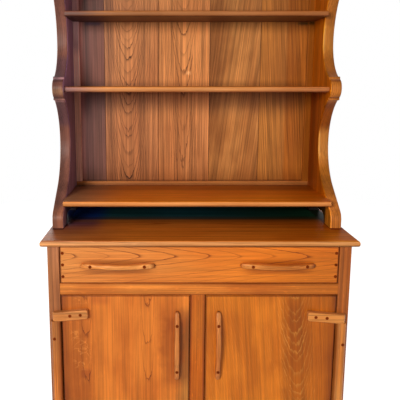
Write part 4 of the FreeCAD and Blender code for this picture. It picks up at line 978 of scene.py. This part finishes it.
# a redder foot, and dark lines of dirt and painted shade along both edges
STILE_TONE_AND_SHADE = [((1.25, 1.18, 0.85), ("Z", 0.55, 0.40)), *grime_and_gap_shade("centre_stile", 0.009, SHADED, "X"),
                ((0.66, 0.66, 0.80), ("X", STILE_EDGE - 0.018, STILE_EDGE - 0.006), FRONT)]
FRAME_PIECES = {
    # tone, the way the grain runs, tints of tone, light and shade
    "drawer_rail": ("rail", "x", RAIL_LIGHT_AND_SHADE),
    "bottom_rail": ("rail", "x", []),
    "centre_stile": ("stile", "z", STILE_TONE_AND_SHADE),
    "front_post_left": ("post_left", "z", [((1.05, 1.12, 1.35), ("Z", 0.72, 0.84))]),
    "front_post_right": ("post_right", "z", []),
    "rear_post_left": ("rear", "z", []),
    "rear_post_right": ("rear", "z", []),
}


def straight_board(name, tone, along, away, figure, tints=None, stains_and_shades=()):
    """A straight-grained piece: its column stands some way beside it."""
    beside = "z" if along == "x" else "x"
    return elm_board(f"{name}_elm", tone, along, beside, middle(name) - AXES[beside] * away,
                     {"Figure_Width": 0.006, "Contrast": 0.45, "Mottle": 0.8, **figure}, tints, stains_and_shades)


for number, (name, (tone, along, stains_and_shades)) in enumerate(FRAME_PIECES.items()):
    figure = {**FRAME_FIGURE, "Seed": FRAME_SEED + number}
    cover(straight_board(name, tone, along, BESIDE_FRAME, figure, stains_and_shades=stains_and_shades), name)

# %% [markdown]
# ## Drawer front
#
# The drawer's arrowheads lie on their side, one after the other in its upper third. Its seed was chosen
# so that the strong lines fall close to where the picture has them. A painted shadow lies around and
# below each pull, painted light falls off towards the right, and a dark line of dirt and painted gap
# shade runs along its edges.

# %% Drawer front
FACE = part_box("drawer_front")[0][1]
DRAWER_COLUMN = (-0.080, FACE, 0.795)
DRAWER_SEED = 65.97
PULL_SHADOW_TINT = (0.62, 0.56, 0.50)
PULL_SHADOW_REACH = 0.012
PULL_SHADOW_BELOW = 0.014


def pull_shadow(node):
    """A painted shadow on the board around and below a pull, faint at its ends."""
    low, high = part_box(node)
    return (PULL_SHADOW_TINT, ("X", low[0] - PULL_SHADOW_REACH, low[0] + 4 * PULL_SHADOW_REACH),
            ("X", high[0] + PULL_SHADOW_REACH, high[0] - 4 * PULL_SHADOW_REACH),
            ("Z", low[2] - PULL_SHADOW_BELOW - PULL_SHADOW_REACH, low[2] - PULL_SHADOW_BELOW),
            ("Z", high[2] + PULL_SHADOW_REACH, high[2]), FRONT)


DRAWER_LIGHT_AND_SHADE = [
    # painted light: redder towards the right, dimmer at the right end; dimmer along the lower left
    ((1.08, 0.80, 0.25), ("X", -0.45, 0.30)),
    ((0.82, 0.80, 0.85), ("X", 0.15, 0.42)),
    ((0.90, 0.84, 0.76), ("Z", 0.757, 0.735), ("X", 0.12, 0.0), FRONT),
    *grime_and_gap_shade("drawer_front"), pull_shadow("drawer_pull_left"), pull_shadow("drawer_pull_right")]
drawer_front = elm_board("drawer_front_elm", "drawer", "x", "z", DRAWER_COLUMN,
                         {"Tip_Spacing": 0.104, "Figure_Width": 0.021, "Point": 1.7, "Flank": 1.6,
                          "Wander": 0.0015, "Bend": 0.5, "Ripple": 0.25, "Uneven": 0.0, "Fineness": 2.5,
                          "Contrast": 1.0, "Plain": 0.35, "Seed": DRAWER_SEED, "Bands": 0.06},
                         stains_and_shades=DRAWER_LIGHT_AND_SHADE)
cover(drawer_front, "drawer_front")

# %% [markdown]
# ## Left door
#
# The left door has two columns of round tips and, at its left edge, a burr: a knotty place whose pale
# lines curl. A noise with a strong distortion, cut to a narrow band of its values, draws such lines, and
# soft-edged patches keep them to the places where the picture shows them. The wood beside the pull is
# darker.

# %% Left door
LEFT_DOOR_COLUMN = (-0.164, FACE, 0.378)
TO_SECOND_COLUMN = 0.1985
DOOR_SEED = 69.9
BURR_LINE = (("burr", 0.46, 0.49), ("burr", 0.55, 0.52))
PALE = (1.32, 1.62, 2.4)
BURR = [(PALE, *BURR_LINE, *within(-0.404, -0.352, 0.412, 0.512)),
        (PALE, *BURR_LINE, *within(-0.412, -0.388, 0.515, 0.575)),
        (PALE, *BURR_LINE, *within(-0.396, -0.352, 0.638, 0.665)),
        # the dark eye below it and a dim patch under the drawer rail
        ((0.78, 0.68, 0.72), *within(-0.384, -0.350, 0.380, 0.410, 0.007)),
        ((0.82, 0.74, 0.80), *within(-0.350, -0.288, 0.636, 0.670))]
LEFT_DOOR_STAINS = [
    # darker around the pull, a grey band beside it, dimmer towards the left side
    ((0.66, 0.58, 0.54), ("cloudy X", -0.135, -0.095), ("cloudy Z", 0.635, 0.58), ("cloudy Z", 0.33, 0.39)),
    ((0.70, 0.90, 1.25), ("cloudy X", -0.075, -0.030), ("cloudy Z", 0.65, 0.56)),
    ((0.60, 0.54, 0.50), ("cloudy X", -0.27, -0.44)),
    ((0.74, 0.66, 0.60), ("X", -0.415, -0.436), FRONT),
    *BURR, *grime_and_gap_shade("door_panel_left")]
door_left = elm_board("door_left_elm", "door_left", "-z", "-x", LEFT_DOOR_COLUMN,
                      {"Tip_Spacing": 0.135, "Figure_Width": 0.020, "Point": 3.0, "Flank": 3.5,
                       "Uneven": 0.0, "Second_Column": TO_SECOND_COLUMN, "Wander": 0.002, "Bend": 0.8,
                       "Fineness": 3.2, "Contrast": 0.95, "Plain": 0.6, "Mottle": 1.0,
                       "Seed": DOOR_SEED, "Bands": 0.08},
                      stains_and_shades=LEFT_DOOR_STAINS)
cover(door_left, "door_panel_left")

# %% [markdown]
# ## Right door
#
# The right door is plain on its left and carries pale nested lines on its right, in a darker band of
# heartwood that leans by a few degrees. Here the ring lines are lighter than the wood, so the tone that
# is called ring line is the palest of the three.

# %% Right door
RIGHT_DOOR_COLUMN = (0.322, FACE, 0.40)
RIGHT_DOOR_LEAN = -4.0
RIGHT_DOOR_STAINS = [
    # the band of heartwood, its darker middle, and the shaded edge beside the batten
    ((0.80, 0.74, 0.60), ("cloudy X", 0.23, 0.30)),
    ((0.82, 0.78, 0.66), ("cloudy X", 0.275, 0.30), ("cloudy X", 0.38, 0.34)),
    ((0.60, 0.52, 0.40), ("X", 0.405, 0.437)),
    *grime_and_gap_shade("door_panel_right", 0.006)]
door_right = elm_board("door_right_elm", "door_right", "-z", "-x", RIGHT_DOOR_COLUMN,
                       {"Tip_Spacing": 0.034, "Figure_Width": 0.025, "Point": 2.1, "Flank": 3.0,
                        "Wander": 0.006, "Bend": 2.4, "Ripple": 1.1, "Contrast": 1.0, "Plain": 0.85,
                        "Mottle": 1.0, "Seed": 52.0, "Bands": 0.12},
                       stains_and_shades=RIGHT_DOOR_STAINS, lean=RIGHT_DOOR_LEAN)
cover(door_right, "door_panel_right")

# %% [markdown]
# ## Straps and battens
#
# The hinges are wood as well: a strap turns on a wooden pin in the end of a rounded batten, which is
# pegged to the post. They are straight-grained offcuts. The battens get painted shade along the side
# that lies towards the door. The left one grows brighter towards its foot, and the right one has a
# painted highlight along its round.

# %% Straps and battens
LEFT_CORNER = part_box("hinge_batten_left")[1][0]
RIGHT_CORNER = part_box("hinge_batten_right")[0][0]
HINGE_SEED = 60.0
BESIDE_OFFCUT = 0.2
# painted shade along the door side of each batten, and a painted highlight along the right one's round
LEFT_BATTEN_LIGHT_AND_SHADE = [((0.62, 0.54, 0.46), ("X", LEFT_CORNER - 0.014, LEFT_CORNER - 0.004)),
                      ((1.45, 1.32, 1.05), ("Z", 0.55, 0.34))]
RIGHT_BATTEN_LIGHT_AND_SHADE = [((0.50, 0.42, 0.34), ("X", RIGHT_CORNER + 0.008, RIGHT_CORNER)),
                       ((1.22, 1.18, 1.05), ("X", RIGHT_CORNER + 0.006, RIGHT_CORNER + 0.012),
                        ("X", RIGHT_CORNER + 0.024, RIGHT_CORNER + 0.014))]
HINGE_PIECES = {
    # tone, the way the grain runs, tints of tone, light and shade
    "hinge_straps_left": ("strap", "x", []),
    "hinge_straps_right": ("strap", "x", [((1.12, 1.18, 1.10), FRONT)]),
    "hinge_batten_left": ("batten_left", "z", LEFT_BATTEN_LIGHT_AND_SHADE),
    "hinge_batten_right": ("batten_right", "z", RIGHT_BATTEN_LIGHT_AND_SHADE),
}
for number, (name, (tone, along, stains_and_shades)) in enumerate(HINGE_PIECES.items()):
    figure = {"Streaks": 0.26, "Seed": HINGE_SEED + number}
    cover(straight_board(name, tone, along, BESIDE_OFFCUT, figure, stains_and_shades=stains_and_shades), name)

# %% [markdown]
# ## The section of a pull
#
# Each pull was sawn out of a thick offcut and rounded with a knife, so no two are quite alike: the waist
# sits a little off the middle, one end is fuller than the other and the faces keep the ripples of the
# knife. A subdivided block could be sculpted to that, but a formula for the section at each place along
# the pull keeps all four alike in kind and lets a few numbers make them different.

# %% The section of a pull
PULLS = {
    # body, tone, grain seed, fuller end, waist place, how far the waist hangs in metres
    "drawer_pull_left": ("drawer", "pull_pale", 71.0, 0.10, 0.15, 0.0010),
    "drawer_pull_right": ("drawer", "pull_red", 72.0, -0.12, 0.25, 0.0012),
    "door_pull_left": ("door_left", "pull", 73.0, -0.10, -0.20, 0.0006),
    "door_pull_right": ("door_right", "pull", 74.0, 0.12, 0.10, -0.0006),
}
LONG_CUT = (0.03, 9.0, 20.0)
SHORT_CUT = (0.02, 23.0, 9.0)
BLUNTNESS = 30
SLIM = 0.88
SWELL = 0.12
END_REACH = 0.36
BOW = 0.62
ROUNDED_OFF = 0.45
ARCH_DEPTH = 0.4
ARCH_HALF = 0.5


def knife_marks(cut, share, own):
    """How far a row of cuts changes a pull: cut is its depth, its cuts and its shift on each pull."""
    depth, cuts, shift = cut
    return depth * math.sin(cuts * share + shift * own)


def pull_section(share, fuller, waist, hang, reach):
    """Half height, lift of the middle, back and front of a pull at a place from -1 to 1 along it."""
    end = math.sqrt(max(1.0 - abs(share) ** BLUNTNESS, 0.0))
    swell = SWELL * math.cos(math.pi * (share - waist)) ** 2 * (1 - share ** 2)
    body = SLIM + swell + fuller * share * 0.5
    knife = knife_marks(LONG_CUT, share, waist) + knife_marks(SHORT_CUT, share, fuller)
    half = 0.5 * (body + knife) * end
    lift = -hang * math.cos(0.5 * math.pi * (share - waist)) ** 2
    front = reach * (END_REACH + BOW * (1 - share ** 2)) * (1.0 - ROUNDED_OFF + ROUNDED_OFF * end)
    back = ARCH_DEPTH * reach * max(0.0, 1.0 - (share / ARCH_HALF) ** 2)
    return half, lift, back, front


print("half height in the middle of a pull:", round(pull_section(0.0, 0.1, 0.15, 0.001, 0.03)[0], 3))

# %% [markdown]
# ## A skin over the sections
#
# A pull is lofted from stations along its length, closer together near its ends, where its outline turns
# fastest. Each station is a rounded rectangle between the back, which arches away from the board for the
# fingers, and the bowed front. Faces then join each row of points to the next.

# %% A skin over the sections
STATIONS = 48
SECTION_POINTS = 16
SQUARENESS = 0.62


def squared(value):
    """A sine or cosine pushed outward, so that a circle becomes a rounded rectangle."""
    return math.copysign(abs(value) ** SQUARENESS, value)


def skin(name, rows):
    """A closed smooth mesh over rows of points, one row for each station."""
    shape = bmesh.new()
    loops = [[shape.verts.new(spot) for spot in row] for row in rows]
    for first, second in zip(loops, loops[1:]):
        for step in range(SECTION_POINTS):
            following = (step + 1) % SECTION_POINTS
            shape.faces.new((first[step], first[following], second[following], second[step]))
    shape.faces.new(loops[0])
    shape.faces.new(loops[-1])
    bmesh.ops.recalc_face_normals(shape, faces=shape.faces)
    for face in shape.faces:
        face.smooth = True
    mesh = bpy.data.meshes.new(name)
    shape.to_mesh(mesh)
    shape.free()
    return mesh


print("a pull has", (STATIONS - 1) * SECTION_POINTS, "points")

# %% [markdown]
# ## Carved pulls
#
# The construction has a plain bowed bar of the same size in each pull's place. The carved pull takes
# over its box and its body, and rides on the drawer or on a door. Each pull gets painted light and shade
# by the way its faces turn, and on the drawer its ends get painted shade, darker than the middle.

# %% Carved pulls
# painted light and shade by facing, for lying and for upright pulls
LYING_TINTS = {"Top Tint": (0.90, 0.80, 0.70), "Under Tint": (0.40, 0.32, 0.25),
               "Left Tint": (0.42, 0.32, 0.24), "Right Tint": (0.45, 0.34, 0.25)}
UPRIGHT_TINTS = {"Top Tint": (0.42, 0.34, 0.26), "Under Tint": (0.40, 0.32, 0.25),
                 "Left Tint": (0.8, 0.7, 0.6), "Right Tint": (0.85, 0.74, 0.62)}
# painted shade on the two ends of a lying pull
LEFT_END = (0.80, 0.70, 0.60)
RIGHT_END = (0.45, 0.34, 0.20)


def carve_pull(node):
    """A pull in place of the construction's plain one."""
    body, tone, seed, fuller, waist, hang = PULLS[node]
    low, high = (Vector(corner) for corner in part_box(node))
    upright = high.z - low.z > high.x - low.x
    along, beside = ("z", "x") if upright else ("x", "z")
    length = getattr(high - low, along)
    thick = getattr(high - low, beside)
    centre = middle(node)
    rows = []
    for station in range(1, STATIONS):
        share = -math.cos(math.pi * station / STATIONS)
        half, lift, back, front = pull_section(share, fuller, waist, hang, high.y - low.y)
        half = min(half * thick, thick / 2 - abs(lift))
        row = []
        for step in range(SECTION_POINTS):
            angle = 2 * math.pi * (step + 0.5) / SECTION_POINTS
            out = squared(math.sin(angle))
            spot = Vector((0, high.y - (front + back) / 2 - out * (front - back) / 2, 0))
            setattr(spot, along, getattr(centre, along) + share * length / 2)
            setattr(spot, beside, getattr(centre, beside) + lift + squared(math.cos(angle)) * half)
            row.append(spot)
        rows.append(row)
    pull = bpy.data.objects.new(f"carved_{node}", skin(f"carved_{node}", rows))
    bpy.context.collection.objects.link(pull)
    tints = UPRIGHT_TINTS
    ends = []
    if not upright:
        tints = LYING_TINTS
        ends = [(LEFT_END, ("X", low.x + 0.022, low.x + 0.002)),
                (RIGHT_END, ("X", high.x - 0.018, high.x - 0.003))]
    wood = straight_board(node, tone, along, BESIDE_OFFCUT, {"Seed": seed}, tints, ends)
    pull.data.materials.append(wood)
    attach(pull, body)
    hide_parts(node)
    return pull


for node in PULLS:
    pull = carve_pull(node)
    print(pull.name, len(pull.data.polygons), "faces")

# %% [markdown]
# ## Where the pegs are
#
# Pegs hold the drawer's corners, the pulls, the straps and the battens. The construction already has
# each one in its hole, several in one piece, so the script finds the separate solids of such a piece by
# walking along its edges, and sorts them so that every run meets them in the same order.

# %% Where the pegs are
PEG_ROWS = {
    # pegs of the construction that one new piece replaces, by the body that carries them
    "drawer": ("drawer_corner_pegs", "drawer_pull_pegs"),
    "carcass": ("batten_pegs",),
    "door_left": ("door_pegs_left",),
    "door_right": ("door_pegs_right",),
}
SAME_POINT = 1e-6


def separate_boxes(node):
    """Lowest and highest corner of each separate solid of a piece."""
    shape = bmesh.new()
    shape.from_mesh(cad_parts[node].data)
    bmesh.ops.remove_doubles(shape, verts=shape.verts, dist=SAME_POINT)
    left = set(shape.verts)
    boxes = []
    while left:
        reached = [left.pop()]
        corners = []
        while reached:
            vert = reached.pop()
            corners.append(vert.co.copy())
            for edge in vert.link_edges:
                other = edge.other_vert(vert)
                if other in left:
                    left.remove(other)
                    reached.append(other)
        boxes.append((Vector(map(min, *corners)), Vector(map(max, *corners))))
    shape.free()
    return sorted(boxes, key=lambda corners: tuple(corners[0]))


peg_boxes = {}
for body, nodes in PEG_ROWS.items():
    peg_boxes[body] = [box for node in nodes for box in separate_boxes(node)]
print("pegs:", {body: len(boxes) for body, boxes in peg_boxes.items()})

# %% [markdown]
# ## The tree that whittles pegs
#
# A peg is split from a straight billet and whittled, so it has a few flat sides, tapers a little and
# sits at its own turn. One peg is enough: Geometry Nodes puts it on a point for each hole, with the
# length that the point carries, and turns each one by chance with a fixed seed. Copying a mesh in a loop
# would do too, but in a tree the sides, thickness and taper stay inputs that can be tried out. Like the
# Mix node, Random Value has its sockets once for each kind of data, so two are picked by number.

# %% The tree that whittles pegs
PEG_INPUTS = {"Ends": "NodeSocketGeometry", "Sides": "NodeSocketInt", "Thickness": "NodeSocketFloat",
              "Taper": "NodeSocketFloat", "Seed": "NodeSocketInt", "Wood": "NodeSocketMaterial"}
HIGHEST_NUMBER = 3
NUMBER_DRAWN = 1
peg_tree = bpy.data.node_groups.new("whittled_pegs", "GeometryNodeTree")
sockets = {}
for label, kind in PEG_INPUTS.items():
    sockets[label] = peg_tree.interface.new_socket(label, in_out="INPUT", socket_type=kind).identifier
peg_tree.interface.new_socket("Pegs", in_out="OUTPUT", socket_type="NodeSocketGeometry")
asked = peg_tree.nodes.new("NodeGroupInput").outputs
made = peg_tree.nodes.new("NodeGroupOutput").inputs
blank = add(peg_tree, "GeometryNodeMeshCone", {"fill_type": "NGON"}, Vertices=asked["Sides"], Depth=1.0,
            Radius_Top=0.5, Radius_Bottom=calc(peg_tree, "MULTIPLY", asked["Taper"], 0.5))
peg_length = add(peg_tree, "GeometryNodeInputNamedAttribute", {"data_type": "FLOAT"}, Name="peg_length")
scale = add(peg_tree, "ShaderNodeCombineXYZ", X=asked["Thickness"], Y=asked["Thickness"],
            Z=peg_length.outputs["Attribute"])
rows = add(peg_tree, "GeometryNodeInstanceOnPoints", Points=asked["Ends"], Instance=blank.outputs["Mesh"],
           Rotation=(math.radians(90.0), 0.0, 0.0), Scale=scale.outputs["Vector"])
chance = add(peg_tree, "FunctionNodeRandomValue", {"data_type": "FLOAT"}, Seed=asked["Seed"])
chance.inputs[HIGHEST_NUMBER].default_value = 2 * math.pi
twist = add(peg_tree, "ShaderNodeCombineXYZ", Z=chance.outputs[NUMBER_DRAWN])
turned = add(peg_tree, "GeometryNodeRotateInstances", Instances=rows.outputs["Instances"],
             Rotation=twist.outputs["Vector"])
real = add(peg_tree, "GeometryNodeRealizeInstances", Geometry=turned.outputs["Instances"])
coloured = add(peg_tree, "GeometryNodeSetMaterial", Geometry=real.outputs["Geometry"],
               Material=asked["Wood"])
feed(peg_tree, made["Pegs"], coloured.outputs["Geometry"])
print("peg tree:", len(peg_tree.nodes), "nodes")

# %% [markdown]
# ## Pegs on each body
#
# The pegs of the drawer, of each door and of the case must move with what carries them, so each body
# gets a mesh of its own. Driven in, a peg's head spreads a little over its hole. The evaluated result is
# taken as a plain mesh and the points that held the tree are thrown away.

# %% Pegs on each body
PEG_SIDES = 9
PEG_TAPER = 0.7
PEG_SPREAD = 1.3
PEG_COLUMN = (0.0, FACE, 0.5)
peg_wood = elm_board("peg_elm", "peg", "y", "x", PEG_COLUMN,
                     {"Figure_Width": 0.0016, "Ring_Width": 0.0016, "Contrast": 0.5, "Seed": 90.0},
                     polish=0.1)


def whittle_pegs(body, boxes):
    """All pegs of one body as a plain mesh, each between the ends that the construction gives it."""
    ends = bpy.data.meshes.new(f"{body}_peg_ends")
    ends.from_pydata([((low.x + high.x) / 2, high.y, (low.z + high.z) / 2) for low, high in boxes], [], [])
    lengths = ends.attributes.new("peg_length", "FLOAT", "POINT")
    lengths.data.foreach_set("value", [high.y - low.y for low, high in boxes])
    holder = bpy.data.objects.new(f"{body}_peg_ends", ends)
    bpy.context.collection.objects.link(holder)
    modifier = holder.modifiers.new("whittling", "NODES")
    modifier.node_group = peg_tree
    low, high = boxes[0]
    for label, value in (("Sides", PEG_SIDES), ("Thickness", PEG_SPREAD * (high.x - low.x)),
                         ("Taper", PEG_TAPER), ("Seed", len(boxes)), ("Wood", peg_wood)):
        modifier[sockets[label]] = value
    graph = bpy.context.evaluated_depsgraph_get()
    mesh = bpy.data.meshes.new_from_object(holder.evaluated_get(graph), depsgraph=graph)
    mesh.name = f"{body}_pegs"
    holder.modifiers.clear()
    bpy.data.objects.remove(holder)
    bpy.data.meshes.remove(ends)
    pegs = bpy.data.objects.new(f"{body}_pegs", mesh)
    bpy.context.collection.objects.link(pegs)
    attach(pegs, body)
    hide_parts(*PEG_ROWS[body])
    return pegs


for body, boxes in peg_boxes.items():
    pegs = whittle_pegs(body, boxes)
    print(pegs.name, len(boxes), "pegs,", len(pegs.data.polygons), "faces")

# %% [markdown]
# ## Inside, sides and back of the base
#
# What only shows when the drawer or a door is open, or from beside and behind, gets one material for each
# direction that boards run in. The wide panels of the sides and the back carry a quiet upright figure.

# %% Inside, sides and back of the base
QUIET_BOARDS = {
    # tone, along, across, a point of the column, figure, pieces
    "inside_elm_across": ("inside", "x", "y", (0.0, -0.4, 0.4), {"Figure_Width": 0.010, "Seed": 80.0},
                          ("cupboard_floor", "cupboard_shelf", "drawer_back", "drawer_bottom",
                           "rear_top_rail", "rear_bottom_rail", "drawer_stops")),
    "inside_elm_upright": ("inside", "z", "x", (0.1, 0.24, 0.4),
                           {"Tip_Spacing": 0.15, "Figure_Width": 0.04, "Point": 1.6, "Flank": 3.0,
                            "Seed": 81.0},
                           ("base_back_panel", "door_stop", "locating_dowels", "hinge_pins")),
    "inside_elm_deep": ("inside", "y", "z", (0.0, 0.0, 0.2), {"Figure_Width": 0.008, "Seed": 82.0},
                        ("shelf_bearers", "drawer_runners", "drawer_guides", "drawer_side_left",
                         "drawer_side_right")),
    "side_elm_upright": ("rail", "z", "y", (0.47, 0.05, 0.45),
                         {"Tip_Spacing": 0.10, "Figure_Width": 0.03, "Point": 1.8, "Flank": 2.5,
                          "Seed": 83.0},
                         ("side_panel_left", "side_panel_right")),
    "side_rail_elm": ("rail", "y", "z", (0.47, 0.0, 0.2), {"Figure_Width": 0.008, "Seed": 84.0},
                      ("side_top_rail_left", "side_top_rail_right", "side_bottom_rail_left",
                       "side_bottom_rail_right")),
}
for name, (tone, along, across, column, figure, pieces) in QUIET_BOARDS.items():
    cover(elm_board(name, tone, along, across, column, figure), *pieces)

# %% [markdown]
# ## The room
#
# The picture has a plain white ground. To the camera and to mirrors the room is therefore white, but as
# a light it is weak, pale and a little cool, so the wood keeps its colour and its shades.

# %% The room
ROOM_COLOUR = (0.80, 0.86, 1.0, 1.0)
ROOM_STRENGTH = 0.04
world = bpy.data.worlds.new("room")
bpy.context.scene.world = world
world.use_nodes = True
room = world.node_tree
room_light = room.nodes["Background"]
room_light.inputs["Color"].default_value = ROOM_COLOUR
room_light.inputs["Strength"].default_value = ROOM_STRENGTH
seen = add(room, "ShaderNodeBackground", Color=WHITE, Strength=1.0)


def looked_at(tree):
    """1 for rays that show a surface, straight, in a mirror or in glass, and 0 for those that light it."""
    ray = add(tree, "ShaderNodeLightPath").outputs
    return calc(tree, "MAXIMUM", ray["Is Camera Ray"],
                calc(tree, "MAXIMUM", ray["Is Glossy Ray"], ray["Is Transmission Ray"]))


mixed = add(room, "ShaderNodeMixShader", Fac=looked_at(room))
feed(room, mixed.inputs[1], room_light.outputs[0])
feed(room, mixed.inputs[2], seen.outputs[0])
feed(room, room.nodes["World Output"].inputs["Surface"], mixed.outputs[0])
print("room light", ROOM_STRENGTH)

# %% [markdown]
# ## Lamps
#
# The picture was taken in daylight that falls from the front, from the left and only a little from
# above: shelf tops are dim, noses bright, and the rack's left side shades the boards behind it. One
# large soft lamp gives that, with a weak one from the right. Two more stand beside and behind the
# dresser, so that no side of it is lost.

# %% Lamps
LAMPS = {
    # place, what it looks at, width, height, power in watts, colour
    "window_left": ((-1.6, -3.3, 1.9), (0.0, 0.0, 0.95), 1.3, 1.1, 126.0, (1.0, 0.95, 0.88)),
    "room_right": ((2.2, -3.0, 1.5), (0.0, 0.0, 0.9), 2.0, 1.6, 22.0, (1.0, 0.95, 0.90)),
    "room_beside": ((3.4, 0.4, 1.5), (0.4, 0.0, 0.9), 1.6, 1.6, 30.0, (1.0, 0.96, 0.92)),
    "room_behind": ((-0.8, 3.6, 1.8), (0.0, 0.2, 0.9), 2.0, 1.6, 60.0, (1.0, 0.96, 0.92)),
}


def soft_lamp(name, place, target, width, height, power, colour):
    """A large area lamp that looks at a point."""
    lamp = bpy.data.lights.new(name, "AREA")
    lamp.shape = "RECTANGLE"
    lamp.size = width
    lamp.size_y = height
    lamp.energy = power
    lamp.color = colour
    holder = bpy.data.objects.new(name, lamp)
    holder.location = place
    holder.rotation_euler = (Vector(target) - Vector(place)).to_track_quat("-Z", "Y").to_euler()
    bpy.context.collection.objects.link(holder)
    print(name, "at", place, power, "W")


for name, settings in LAMPS.items():
    soft_lamp(name, *settings)

# %% [markdown]
# ## Floor
#
# The floor is a wide pale disc. It glows towards the camera by almost as much as the room does, so that
# it melts into the white ground, and what is left of its own colour takes the dresser's shadow.

# %% Floor
FLOOR_RADIUS = 4.5
FLOOR_SIDES = 96
FLOOR_ROUGHNESS = 0.9
FLOOR_GREY = (0.40, 0.40, 0.40, 1.0)
FLOOR_GLOW = 0.93
floor_mesh = bpy.data.meshes.new("floor")
disc = bmesh.new()
bmesh.ops.create_circle(disc, cap_ends=True, radius=FLOOR_RADIUS, segments=FLOOR_SIDES)
disc.to_mesh(floor_mesh)
disc.free()
floor = bpy.data.objects.new("floor", floor_mesh)
bpy.context.collection.objects.link(floor)
pale_floor = bpy.data.materials.new("pale_floor")
pale_floor.use_nodes = True
floor_tree = pale_floor.node_tree
floor_shader = floor_tree.nodes["Principled BSDF"]
floor_shader.inputs["Base Color"].default_value = FLOOR_GREY
floor_shader.inputs["Roughness"].default_value = FLOOR_ROUGHNESS
floor_shader.inputs["Emission Color"].default_value = WHITE
feed(floor_tree, floor_shader.inputs["Emission Strength"],
     calc(floor_tree, "MULTIPLY", looked_at(floor_tree), FLOOR_GLOW))
floor_mesh.materials.append(pale_floor)
print("floor", len(floor_mesh.polygons), "face")

# %% [markdown]
# ## Camera
#
# The camera was solved from the straight edges of counter, posts, shelves and doors. Its axis does not
# go through the middle of the picture, as in one that was cropped, so the lens is shifted.

# %% Camera
FOCAL_PIXELS = 540.0
FRAME_PIXELS = 400.0
AXIS_PIXEL = (161.6, 171.0)
SENSOR = 36.0
CAMERA_PLACE = (-0.1195, -1.8585, 1.336)
CAMERA_TILT = 9.26
camera_data = bpy.data.cameras.new("view_from_front")
camera_data.sensor_fit = "HORIZONTAL"
camera_data.sensor_width = SENSOR
camera_data.lens = SENSOR * FOCAL_PIXELS / FRAME_PIXELS
camera_data.shift_x = (FRAME_PIXELS / 2 - AXIS_PIXEL[0]) / FRAME_PIXELS
camera_data.shift_y = (AXIS_PIXEL[1] - FRAME_PIXELS / 2) / FRAME_PIXELS
camera = bpy.data.objects.new("view_from_front", camera_data)
camera.location = CAMERA_PLACE
camera.rotation_euler = (math.radians(90.0 - CAMERA_TILT), 0.0, 0.0)
bpy.context.collection.objects.link(camera)
bpy.context.scene.camera = camera
bpy.context.scene.view_settings.view_transform = "Standard"
print("camera lens", round(camera_data.lens, 1), "mm")
